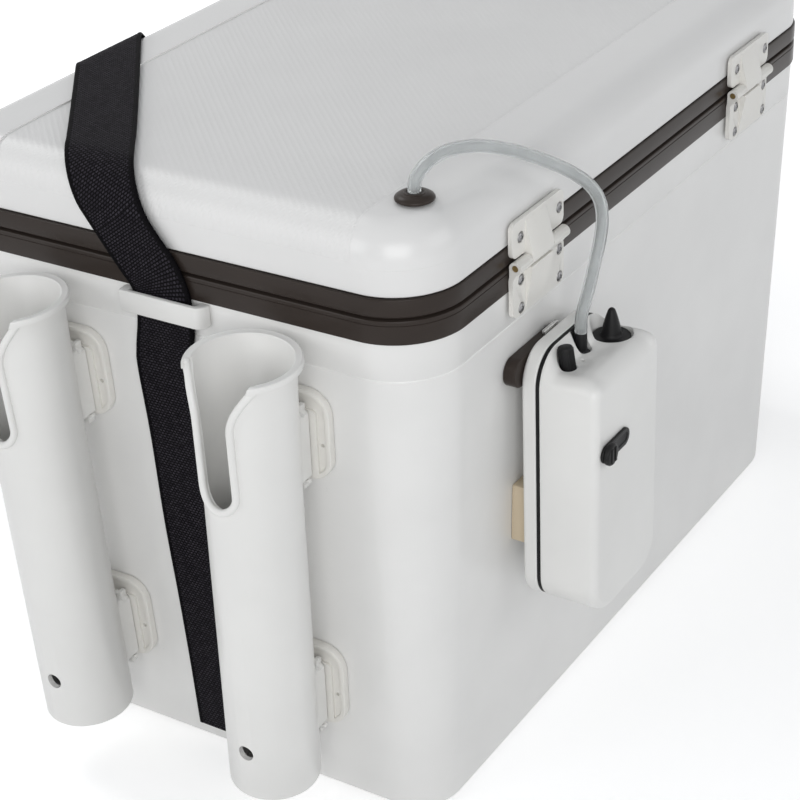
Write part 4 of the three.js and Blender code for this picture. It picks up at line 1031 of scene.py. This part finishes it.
def notch_half(rise):
    """The right half of the notch's outline, from its bottom to its mouth."""
    half, mouth = NOTCH_WIDTH / 2, NOTCH_MOUTH / 2
    points = arc(half, -90, 0, 12)
    middle, end = (half, rise * 0.55), (mouth, rise - 1)
    for step in range(1, 17):
        t = step / 16
        x = half + (end[0] - middle[0]) * (3 * t * t - 2 * t ** 3) * (0.35 + 0.65 * t)
        points.append((x, middle[1] + (end[1] - middle[1]) * t))
    return points


def holder_with_notch():
    rise = NOTCH_DEPTH - NOTCH_WIDTH / 2
    right = notch_half(rise)
    mouth = NOTCH_MOUTH / 2
    left = [(-x, y) for x, y in reversed(right[1:])]
    shape = right + [(mouth, rise + 5), (-mouth, rise + 5)] + left
    depth = 2 * RIM_RADIUS
    tool = prism(shape, depth, WHITE)
    turn = Matrix.Rotation(NOTCH_TURN, 4, "Z")
    base = HOLDER_LENGTH - rise
    move(tool, turn @ shift(0, depth, base) @ INWARDS)
    tube = carve(holder_tube(), tool)
    course = [(x, y, tube_radius(base + y) + 0.4) for x, y in right if y < rise - 7]
    course += [(mouth + 0.2, rise - drop, RIM_RADIUS - 2.2) for drop in (3.4, 1.8, 0.9, 0.3, 0.1)]
    thick = [NOTCH_BEAD] * (len(course) - 3) + [1.9, 1.3, 0.6]
    course = [(-x, y, r) for x, y, r in course[:0:-1]] + course
    thick = thick[:0:-1] + thick
    route = [Vector((x, math.sqrt(r * r - x * x), base + y)) for x, y, r in course]
    bead = loft(circles(route, thick, 16), WHITE, sharp=60)
    unite(tube, move(bead, turn))
    hole = prism(arc(CROSS_HOLE_RADIUS, 0, 348, 30), 2 * RIM_RADIUS, WHITE)
    move(hole, shift(0, 2 * RIM_RADIUS, CROSS_HOLE_RISE) @ INWARDS)
    return carve(tube, hole)


def rail_blocks(height, growth, material):
    """The T of a rail, or with some growth the slot that runs on it."""
    neck, head = RAIL_NECK / 2 + growth, RAIL_HEAD / 2 + growth
    back = RAIL_DEPTH - RAIL_HEAD_DEPTH - growth
    return unite(
        block((-neck, 0, -height / 2), (neck, RAIL_DEPTH, height / 2), material),
        block((-head, back, -height / 2), (head, RAIL_DEPTH + growth, height / 2), material),
    )


def shoe(z):
    """The block between a tube and a plate's rail."""
    back = GAP + PLATE_THICKNESS + PLATE_RIM_RISE + 0.8
    front = HOLDER_REACH - math.sqrt(TUBE_RADIUS ** 2 - (SHOE_WIDTH / 2) ** 2) + 1.6
    shape = outline(SHOE_WIDTH / 2, SHOE_HEIGHT / 2, 2.5, 5)
    body = move(prism(shape, front - back, WHITE), shift(0, front, 0) @ INWARDS)
    slot = rail_blocks(PLATE_HEIGHT + 10, RAIL_PLAY, WHITE)
    carve(body, move(slot, shift(0, GAP + PLATE_THICKNESS, 0)))
    bore = prism(circle(TUBE_RADIUS - TUBE_WALL / 2, 60), 2 * SHOE_HEIGHT, WHITE)
    carve(body, move(bore, shift(0, HOLDER_REACH, -SHOE_HEIGHT)))
    for side in (1, -1):
        for end in (1, -1):
            place = shift(side * SHOE_CLIP_ASIDE, back, end * (SHOE_HEIGHT / 2 + 1.6))
            unite(body, move(shoe_clip(side, end), place))
    return move(body, shift(0, 0, along_wall(z) - SHOE_DROP))


def shoe_clip(side, end):
    """A small crossed clip at the corner of a shoe's end."""
    stem = block((-1.3, 0.4, -3), (1.3, 5.2, 3), WHITE)
    bar = block((-4.4, 2.4, -0.9), (4.4, 5, 0.9), WHITE)
    move(bar, turned(side * end * SHOE_CLIP_TURN, "Y"))
    return soften(unite(stem, bar), 0.3, 2)


def rod_holder():
    tube = move(holder_with_notch(), shift(0, HOLDER_REACH, HOLDER_RISE))
    unite(tube, *[shoe(z) for z in PLATE_HEIGHTS.values()])
    return shade(tube, 32)


def rail_plate():
    rise = PLATE_THICKNESS + PLATE_RIM_RISE
    plate = wall_plate(PLATE_WIDTH, PLATE_HEIGHT, rise, PLATE_CORNER_RADIUS, WARM, 14)
    recess = wall_plate(PLATE_WIDTH - 2 * PLATE_RIM, PLATE_HEIGHT - 2 * PLATE_RIM,
                        6, PLATE_CORNER_RADIUS - PLATE_RIM, WARM, 14)
    move(recess, shift(0, PLATE_THICKNESS, 0))
    carve(plate, recess)
    soften(plate, 0.6, 3)
    boss = wall_plate(BOSS_WIDTH, SHOE_HEIGHT, PLATE_THICKNESS + BOSS_RISE, 3, WARM, 6)
    unite(plate, move(boss, shift(0, 0, -SHOE_DROP)))
    rail = rail_blocks(SHOE_HEIGHT, 0, WARM)
    unite(plate, move(rail, shift(0, PLATE_THICKNESS - GAP / 2, -SHOE_DROP)))
    for side in (1, -1):
        dimple = lathe([(0, -2), (1.1, -2), (1.2, 0.2), (1.5, 2), (0, 2)], WARM, 20)
        place = shift(side * DIMPLE_ASIDE, PLATE_THICKNESS, -SHOE_DROP)
        carve(plate, move(dimple, place @ OUTWARDS))
    return shade(move(plate, shift(0, GAP, 0)), 40)


def copy_of(obj):
    return link_object("piece", obj.data.copy())


def holder_mount(hand):
    """A holder and its plates lean towards the middle of the wall, like the wall's corners."""
    top = along_wall(HOLDER_TOP_Z)
    foot = hand * (HOLDER_Y - top * math.sin(HOLDER_TILT))
    lean = Matrix.Rotation(hand * HOLDER_TILT, 4, "Y")
    return shift(foot, 0, top * (1 - math.cos(HOLDER_TILT))) @ lean


def add_holders():
    holder, plate = rod_holder(), rail_plate()
    for side, sign in SIDES:
        for place, turn in (("front", -1), ("rear", 1)):
            name = f"{side}_{place}"
            stand = end_frame(sign) @ holder_mount(-sign * turn)
            tube = move(copy_of(holder), stand)
            place_piece(tube, f"holder_{name}", f"holder_{name}", "white_plastic",
                        f"rod_holder_{name}")
            for level, z in PLATE_HEIGHTS.items():
                base = move(copy_of(plate), stand @ shift(0, 0, along_wall(z)))
                place_piece(base, f"plate_{name}_{level}", "box", "warm_plastic",
                            f"rod_plate_{name}_{level}")
    discard(holder, plate)


# Strap

def strap_loop():
    """A bar over the strap: square at one end, curling back to the wall at the other."""
    half, inner = LOOP_INNER_WIDTH / 2 + LOOP_FOOT, LOOP_INNER_WIDTH / 2
    front, back, turn = LOOP_FRONT, LOOP_FRONT - LOOP_BAR_THICKNESS, 6.5
    shape = [(inner, 0), (half, 0), (half, front - 1), (half - 1, front)]
    shape += arc(turn, 90, 180, 12, (turn - half, front - turn))
    shape += [(-half, 0), (-inner, 0)]
    shape += arc(2.5, 180, 90, 6, (2.5 - inner, back - 2.5))
    shape += arc(1, 90, 0, 4, (inner - 1, back - 1))
    loop = prism(shape, LOOP_BAR_HEIGHT, WHITE)
    move(loop, shift(0, GAP, -LOOP_BAR_HEIGHT / 2))
    return soften(loop, 0.7, 3, 50)


LID_FLAT_INSET = BAND_STEP + LID_ROLL_RUN
LID_ROLL_HEIGHT = LID_TOP - LID_CROWN - LID_ROLL_Z
ROLL_LENGTH = (LID_ROLL_RUN + LID_ROLL_HEIGHT) / 2 * math.pi / 2
STRAP_LIFT = 1.4
STRAP_FOLD_Z = WALL_TOP - 7.15
STRAP_FOLD_X = LENGTH / 2 - LID_FLAT_INSET + ROLL_LENGTH + LID_ROLL_Z - STRAP_FOLD_Z
STRAP_FOLD_Y = WIDTH / 2 - LID_FLAT_INSET + ROLL_LENGTH + 36.4
# Half of the strap's course on the unrolled lid, as shares of the two folds, from loop to middle
STRAP_SHARES = [
    (1, -0.005), (0.981, -0.005), (0.955, -0.017), (0.929, -0.04), (0.891, -0.085),
    (0.74, -0.249), (0.675, -0.318), (0.492, -0.521), (0.289, -0.749),
    (0.193, -0.858), (0.116, -0.938), (0.051, -0.986), (0, -1),
]
STRAP_JOINT_SHARE = 0.848
# The strap's tail down the wall: shares of its height, its width aside and its lift
TAIL_SHARES = [
    (1, -0.026, 1.57), (0.961, -0.053, 1.43), (0.901, -0.171, 0.57), (0.857, -0.197, 0.57),
    (0.717, -0.132, 0.57), (0.524, -0.092, 0.57), (0.347, -0.013, 0.57), (0.2, 0.039, 0.57),
    (0.04, 0.079, 0.57),
]
# Across the webbing: place from its middle, and height of its face over its back
WEAVE_PROFILE = [
    (19, 0.5), (18.7, 1.35), (18, 1.62), (17, 1.62), (16.4, 1.4), (15.6, 1.5), (10, 1.5),
    (5, 1.5), (0, 1.5), (-5, 1.5), (-10, 1.5), (-15.6, 1.5), (-16.4, 1.4), (-17, 1.62),
    (-18, 1.62), (-18.7, 1.35), (-19, 0.5),
]


def over_edge(distance):
    """The lid's surface past its flat top: outwards, height and tilt."""
    if distance <= 0:
        return distance, LID_TOP, 0
    angle = min(distance / ROLL_LENGTH, 1) * math.pi / 2
    drop = max(distance - ROLL_LENGTH, 0)
    height = LID_TOP - (LID_TOP - LID_ROLL_Z) * (1 - math.cos(angle)) - drop
    return LID_ROLL_RUN * math.sin(angle), height, angle


def on_lid(x, y):
    flat_x, flat_y = LENGTH / 2 - LID_FLAT_INSET, WIDTH / 2 - LID_FLAT_INSET
    side = 1 if x >= 0 else -1
    past_end, past_front = abs(x) - flat_x, -y - flat_y
    if past_end > 0:
        out, height, tilt = over_edge(past_end)
        normal = Vector((side * math.sin(tilt), 0, math.cos(tilt)))
        foot = Vector((side * (flat_x + out), y, height))
    else:
        out, height, tilt = over_edge(past_front)
        normal = Vector((0, -math.sin(tilt), math.cos(tilt)))
        foot = Vector((x, -flat_y - out if past_front > 0 else y, height))
    return foot + normal * (STRAP_LIFT + BAND_STEP * math.sin(tilt)), normal


def strap_rows(centres):
    rows = []
    last = len(centres) - 1
    for i, centre in enumerate(centres):
        along = (centres[min(i + 1, last)] - centres[max(i - 1, 0)]).normalized()
        across = (along.y, -along.x)
        rows.append([
            on_lid(centre.x + across[0] * place, centre.y + across[1] * place)
            for place, _ in WEAVE_PROFILE
        ])
    return rows


def even_steps(points, step):
    route = smooth_route(points, 16)
    lengths = [0]
    for a, b in zip(route, route[1:]):
        lengths.append(lengths[-1] + (b - a).length)
    count = max(2, round(lengths[-1] / step))
    even, at = [], 0
    for i in range(count + 1):
        wanted = lengths[-1] * i / count
        while at < len(lengths) - 2 and lengths[at + 1] < wanted:
            at += 1
        share = (wanted - lengths[at]) / (lengths[at + 1] - lengths[at])
        even.append(route[at].lerp(route[at + 1], min(share, 1)))
    return even


def ribbon(rows):
    """Webbing over rows of (point, normal), with its weave laid out in metres as UVs."""
    rings, places = [], []
    length = 0
    middle = len(WEAVE_PROFILE) // 2
    for i, row in enumerate(rows):
        if i:
            length += (row[middle][0] - rows[i - 1][middle][0]).length
        back = [point for point, _ in row]
        face = [point + normal * height for (point, normal), (_, height) in zip(row, WEAVE_PROFILE)]
        rings.append(back + face[::-1])
        across = [place for place, _ in WEAVE_PROFILE]
        places += [(place * MM, length * MM) for place in across + across[::-1]]
    obj = loft(rings, WEBBING, sharp=60)
    layer = obj.data.uv_layers.new(name="ribbon")
    for loop in obj.data.loops:
        layer.data[loop.index].uv = places[loop.vertex_index]
    return obj


def strap_course():
    """Rows of the whole strap, parted where its pieces meet on the ends of the lid."""
    half = [(STRAP_FOLD_X * x, STRAP_FOLD_Y * y, 0) for x, y in STRAP_SHARES]
    mirrored = [(-x, y, z) for x, y, z in reversed(half)]
    centres = even_steps(half + mirrored[1:], 2.5)
    rows = strap_rows(centres)
    joint = STRAP_FOLD_X * STRAP_JOINT_SHARE
    before = [i for i, centre in enumerate(centres) if centre.x > joint][-1]
    after = [i for i, centre in enumerate(centres) if centre.x < -joint][0]
    return rows[:before + 1], parted(rows[before:after + 1]), rows[after:]


def parted(rows):
    """The rows with their first and last drawn in by a hair's breadth."""
    rows = list(rows)
    for end, beside in ((0, 1), (-1, -2)):
        rows[end] = [
            (point.lerp(near, 0.04), normal)
            for (point, normal), (near, _) in zip(rows[end], rows[beside])
        ]
    return rows


def strap_tail(sign):
    top = along_wall(STRAP_FOLD_Z - 1.2)
    middles = [(-sign * STRAP_WIDTH * aside, STRAP_LIFT * lift, top * height)
               for height, aside, lift in TAIL_SHARES]
    rows = []
    for centre in even_steps(middles, 4):
        rows.append([
            (Vector((centre.x + place, centre.y, centre.z)), Vector((0, 1, 0)))
            for place, _ in WEAVE_PROFILE
        ])
    return move(ribbon(rows), end_frame(sign))


def add_strap():
    loop = strap_loop()
    z = WALL_TOP - LOOP_BAR_HEIGHT / 2 - GAP
    run, lid, other_run = strap_course()
    for side, sign in SIDES:
        bar = move(copy_of(loop), end_frame(sign) @ shift(0, 0, along_wall(z)))
        place_piece(bar, f"loop_{side}", "box", "white_plastic", f"strap_loop_{side}")
        place_piece(strap_tail(sign), f"webbing_tail_{side}", "box", "webbing",
                    f"strap_tail_{side}")
        end = ribbon(run if sign > 0 else other_run)
        end.name = f"webbing_end_{side}"
        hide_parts(f"strap_end_{side}")
        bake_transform(end)
    discard(loop)
    place_piece(ribbon(lid), "webbing_over_lid", "lid", "webbing", "strap_over_lid")


# Pump, built in its own frame: the middle of its back at its top

PUMP_HEIGHT = PUMP_TOP - PUMP_BOTTOM
PUMP_DEPTH = PUMP_FRONT - PUMP_BACK
SHELL_BACK = PUMP_SHELL_BACK - PUMP_BACK
COVER_DEPTH = PUMP_SPLIT - PUMP_BACK
EDGE_START = PUMP_DEPTH - PUMP_EDGE_RADIUS
CAP_PLACE, CAP_FLOOR = (-23, 23.5), -13
OUTLET_PLACE, OUTLET_FLOOR, OUTLET_TOP = (-1, 16), -15, -1
PLUG_PLACE, PLUG_FLOOR, PLUG_TOP = (21, 19), -15, 1
# Place, radius and floor of the casing's round recesses
RECESSES = [
    (CAP_PLACE, 12.2, CAP_FLOOR),
    (OUTLET_PLACE, 6, OUTLET_FLOOR),
    (PLUG_PLACE, 5.6, PLUG_FLOOR),
]
# The dish fades towards the end past the cap, and grows shallower by a share towards the other
DISH_END = (-40, -26)
DISH_RISE = (24, 36)
DISH_RISE_SHARE = 0.28
# The pocket begins beside the cap, and fades towards the casing's front
POCKET_SIDE = (-12, -5)
POCKET_FRONT = (24, 34)
# How fast the dish fades round the casing's top corners
DISH_FACING = 1.7
SWITCH_PLACE = (18.5, -53.5)
SWITCH_LENGTH = 32
SWITCH_WIDTH = 10.6
SWITCH_THICKNESS = 1.6
SWITCH_RIM = 2.5
KNOB_RADIUS = 6.4
BRACKET_DROP = 12.5
BRACKET_SIZE = (59, 17)
BRACKET_ASIDE = 14.6
CUTTER_DEPTH, CUTTER_WIDTH, CUTTER_LEFT = 12, 80, 25
CLIP_LOW, CLIP_HIGH = (119, 163.4, PUMP_TOP - 3.6), (134, 165.6, PUMP_TOP + 0.4)


def smoothstep(value, low, high):
    share = max(0, min(1, (value - low) / (high - low)))
    return share * share * (3 - 2 * share)


def dish(aside, y):
    """Depth of the dish in the top of the casing, with a pocket round the plug and the outlet."""
    past_end = smoothstep(aside, *DISH_END) * (1 - DISH_RISE_SHARE * smoothstep(aside, *DISH_RISE))
    pocket = smoothstep(aside, *POCKET_SIDE) * (1 - smoothstep(y, *POCKET_FRONT))
    depth = DISH_DROP + POCKET_DROP * pocket
    return depth * past_end * smoothstep(y, SHELL_BACK, SHELL_BACK + DISH_RUN)


def curve_drop(y, radius):
    past = max(y - PUMP_DEPTH + radius, 0)
    return radius - math.sqrt(max(radius ** 2 - past ** 2, 0))


def pump_ring(y, inset, dished=0.0):
    """The casing's outline at a depth; its top bends to the front over a wider curve
    than its sides."""
    half, wide = PUMP_HEIGHT / 2 - inset, PUMP_WIDTH / 2 - inset
    radius = PUMP_CORNER_RADIUS - inset
    ring = outline(half, wide, radius, 16)
    edge = wide - radius
    ring += [(half, -edge + 2 * edge * i / 14) for i in range(1, 14)]
    bend = curve_drop(y, PUMP_TOP_ROUND) - curve_drop(y, PUMP_EDGE_RADIUS)
    points = []
    for up, aside in ring:
        drop = 0
        if up > 0:
            facing = max(0, min(1, (up - half + radius) / radius)) ** DISH_FACING
            drop = (dished * dish(aside, y) + bend) * facing
        points.append((aside, y, up - PUMP_HEIGHT / 2 - drop))
    return points


def pump_block(inset, back, rounded=0.0):
    rings = []
    if rounded:
        rings.append(pump_ring(back, inset + rounded, 1))
        rings.append(pump_ring(back + 0.3 * rounded, inset + 0.3 * rounded, 1))
        back += rounded
    steps = 24
    for step in range(steps):
        y = back + (EDGE_START - back) * step / steps
        rings.append(pump_ring(y, inset, 1))
    for cos, sin in quarter_turn(12):
        y = EDGE_START + (PUMP_EDGE_RADIUS - inset) * sin
        rings.append(pump_ring(y, inset + PUMP_EDGE_RADIUS * (1 - cos), 1))
    return loft(rings, WHITE, sharp=35)


def upright(place, profile, material, sides=48, sharp=35):
    return move(lathe(profile, material, sides, sharp), shift(*place, 0))


def pump_front_shell():
    shell = pump_block(0, SHELL_BACK, 0.6)
    carve(shell, pump_block(PUMP_SKIN, SHELL_BACK - 5))
    for place, radius, floor in RECESSES:
        outside, foot = radius + PUMP_SKIN - GAP, floor - PUMP_SKIN
        cup = upright(place, [(0, foot), (outside, foot), (outside, 5), (0, 5)], WHITE)
        unite(shell, combine(cup, [pump_block(0.02, SHELL_BACK, 0.6)], "INTERSECT"))
    for place, radius, floor in RECESSES:
        carve(shell, upright(place, [(0, floor), (radius, floor), (radius, 9), (0, 9)], WHITE))
    pin_hole = [(0, -16), (1.2, -16), (1.2, 5), (0, 5)]
    carve(shell, upright((10, 23), pin_hole, WHITE, 20))
    return shade(soften(shell, 0.5, 2, 50), 38)


def pump_back_cover():
    edge = PUMP_SKIN
    rings = [pump_ring(edge * (1 - cos), edge * (1 - sin)) for cos, sin in quarter_turn(6)]
    rings.append(pump_ring(COVER_DEPTH - 0.6, 0))
    rings.append(pump_ring(COVER_DEPTH, 0.5))
    hollow = [pump_ring(PUMP_SKIN, PUMP_SKIN), pump_ring(COVER_DEPTH + 5, PUMP_SKIN)]
    return shade(carve(loft(rings, WHITE), loft(hollow, WHITE)), 35)


def pump_gasket():
    back, front = COVER_DEPTH + GAP, SHELL_BACK - GAP
    hole = [pump_ring(back - 5, PUMP_SKIN), pump_ring(front + 5, PUMP_SKIN)]
    slab = loft([pump_ring(back, GAP), pump_ring(front, GAP)], BLACK)
    return carve(slab, loft(hole, BLACK))


def raised(profile, floor):
    return [(radius, floor + height) for radius, height in profile]


# Radii and heights over the floors of their recesses
CAP_PROFILE = [
    (0, 0), (10.6, 0), (11, 0.4), (11, 1.6), (10.5, 2.1), (9, 1.9), (6.6, 2.1), (5.9, 2.8),
    (5.6, 3.8), (4.6, 8.7), (3.2, 13.8), (2.2, 16.8), (1.8, 17.6), (1.1, 18.2), (0, 18.4),
]
OUTLET_FOOT = [(0, 0), (5.2, 0), (5.5, 0.5), (5.3, 1.6), (4.2, 2.6), (3.5, 3.4)]


def pump_cap():
    return upright(CAP_PLACE, raised(CAP_PROFILE, CAP_FLOOR + GAP), BLACK, sharp=40)


def pump_plug():
    floor = PLUG_FLOOR + GAP
    plug = lathe([
        (0, floor), (4, floor), (4.2, floor + 0.4), (4.2, PLUG_TOP - 1), (3.9, PLUG_TOP - 0.3),
        (3.3, PLUG_TOP), (0, PLUG_TOP),
    ], BLACK, 72, 30)
    count = 18
    ribs = []
    for i in range(count):
        rib = block((-0.3, 4, floor + 1), (0.3, 4.5, PLUG_TOP - 1.4), BLACK)
        ribs.append(move(rib, turned(360 * i / count, "Z")))
    unite(plug, *ribs)
    middle = (PLUG_FLOOR + PLUG_TOP) / 2
    return move(plug, shift(*PLUG_PLACE, middle) @ turned(9, "X") @ shift(0, 0, -middle))


def pump_outlet():
    pipe = [(3.4, OUTLET_TOP - 0.5), (3.1, OUTLET_TOP), (0, OUTLET_TOP)]
    return upright(OUTLET_PLACE, raised(OUTLET_FOOT, OUTLET_FLOOR + GAP) + pipe, BLACK, 40)


def switch_plate():
    plate = wall_plate(SWITCH_LENGTH, SWITCH_WIDTH, SWITCH_THICKNESS, SWITCH_WIDTH / 2, BLACK, 16)
    track = wall_plate(SWITCH_LENGTH - 2 * SWITCH_RIM, SWITCH_WIDTH - 2 * SWITCH_RIM, 2,
                       SWITCH_WIDTH / 2 - SWITCH_RIM, BLACK, 12)
    carve(plate, move(track, shift(0, SWITCH_THICKNESS - 0.5, 0)))
    soften(plate, 0.35, 2)
    return move(plate, shift(SWITCH_PLACE[0], PUMP_DEPTH + GAP, SWITCH_PLACE[1]))


def switch_knob():
    radius = KNOB_RADIUS
    knob = lathe([
        (0, 0), (radius - 0.2, 0), (radius, 0.4), (radius, 2), (radius - 0.5, 2.7),
        (radius - 1.4, 3), (0, 3),
    ], BLACK, 56, 30)
    unite(knob, *[block((x - 0.8, -4.2, 2.6), (x + 0.8, 4.2, 3.6), BLACK) for x in (-2, 2)])
    soften(knob, 0.3, 2, 50)
    x = SWITCH_PLACE[0] + SWITCH_LENGTH / 2 - radius
    y = PUMP_DEPTH + SWITCH_THICKNESS + 2 * GAP
    return move(knob, shift(x, y, SWITCH_PLACE[1]) @ OUTWARDS)


def wall_slab(low, high):
    """The leaning wall behind the pump between two heights, grown by the gap, as a cutter."""
    face = [(WIDTH / 2 - wall_inset(z) + GAP, z) for z in (low, high)]
    behind = [(y - CUTTER_DEPTH, z) for y, z in reversed(face)]
    cutter = prism(face + behind, CUTTER_WIDTH, BAND)
    return move(cutter, shift(PUMP_X - CUTTER_LEFT, 0, 0) @ SIDEWAYS)


def pump_bracket():
    """The brown lobe on the wall behind the pump's head."""
    width, height = BRACKET_SIZE
    z = PUMP_TOP - BRACKET_DROP
    back = WIDTH / 2 - wall_inset(z - height)
    lobe = wall_plate(width, height, PUMP_BACK - GAP - back, 8, BAND, 10)
    move(lobe, shift(PUMP_X + BRACKET_ASIDE, back, z))
    carve(lobe, wall_slab(z - 20, z + 20))
    return soften(lobe, 0.6, 3, 50)


def pump_spacer():
    """The beige pad between the wall and the pump's back, low on its strap side."""
    low, high = PUMP_BOTTOM + SPACER_RISE, PUMP_BOTTOM + SPACER_RISE + SPACER_HEIGHT
    left = PUMP_X + SPACER_SIDE - SPACER_WIDTH
    back = WIDTH / 2 - wall_inset(low)
    pad = block((left, back, low), (PUMP_X + SPACER_SIDE, PUMP_BACK - GAP, high), BEIGE)
    carve(pad, wall_slab(low - 5, high + 5))
    return soften(pad, 0.5, 2, 50)


def bracket_clip():
    """A metal strip that hooks the pump's back over the bracket."""
    return soften(block(CLIP_LOW, CLIP_HIGH, STEEL), 0.3, 2)


def add_pump():
    stand = shift(PUMP_X, PUMP_BACK, PUMP_TOP)
    for build, name, body, slot, node in (
        (pump_front_shell, "pump_fine_front_shell", "box", "white_plastic", "pump_front_shell"),
        (pump_back_cover, "pump_fine_back_cover", "box", "white_plastic", "pump_back_cover"),
        (pump_gasket, "pump_fine_gasket", "box", "rubber", "pump_gasket"),
        (pump_cap, "pump_fine_cap", "cap", "rubber", "pump_cap"),
        (pump_plug, "pump_fine_plug", "plug", "rubber", "pump_plug"),
        (pump_outlet, "pump_fine_outlet", "box", "rubber", "pump_outlet"),
        (switch_plate, "switch_fine_plate", "box", "rubber", "switch_plate"),
        (switch_knob, "switch_fine_knob", "switch", "rubber", "switch_knob"),
    ):
        place_piece(move(build(), stand), name, body, slot, node)
    place_piece(pump_bracket(), "pump_fine_bracket", "box", "brown_trim", "pump_bracket")
    place_piece(pump_spacer(), "pump_fine_spacer", "box", "spacer_foam", "pump_spacer")
    place_piece(bracket_clip(), "pump_bracket_clip", "box", "motor_steel")


def add_grommet():
    grommet = lathe([
        (0, -3.3), (4.3, -3.3), (4.5, -3), (4.5, 0), (10, 0), (10.5, 0.5), (10.5, 1.2),
        (10.1, 1.9), (8.6, 2.9), (6.8, 3.5), (5.8, 3.6), (5.5, 4), (4.6, 4), (4.1, 3.4), (0, 3.2),
    ], BAND, 64)
    move(grommet, shift(*OUTER_TUBE_ROUTE[0][:2], LID_TOP + GAP))
    place_piece(grommet, "grommet_ring", "lid", "brown_trim", "tube_grommet")


add_hinges()
add_holders()
add_strap()
add_pump()
add_grommet()

for lamp in LAMPS:
    area_lamp(*lamp)
bpy.context.scene.view_settings.view_transform = "Standard"

# Each solid that no finer piece replaces shows with its slot's own look
PLAIN = {
    "wall_plastic": WALL, "white_plastic": WHITE, "warm_plastic": WARM, "brown_trim": BAND,
    "foam": FOAM, "rubber": BLACK, "webbing": WEBBING, "hose": HOSE, "pin_brass": BRASS,
    "motor_steel": STEEL, "cell_wrap": CELL, "board": BOARD, "stone": STONE, "spacer_foam": BEIGE,
}
for subpart in frame["record"]["subparts"]:
    node = frame["nodes"][subpart["node"]]
    material = PLAIN[subpart["material_slot"]]
    node.data.materials.clear()
    node.data.materials.append(material)
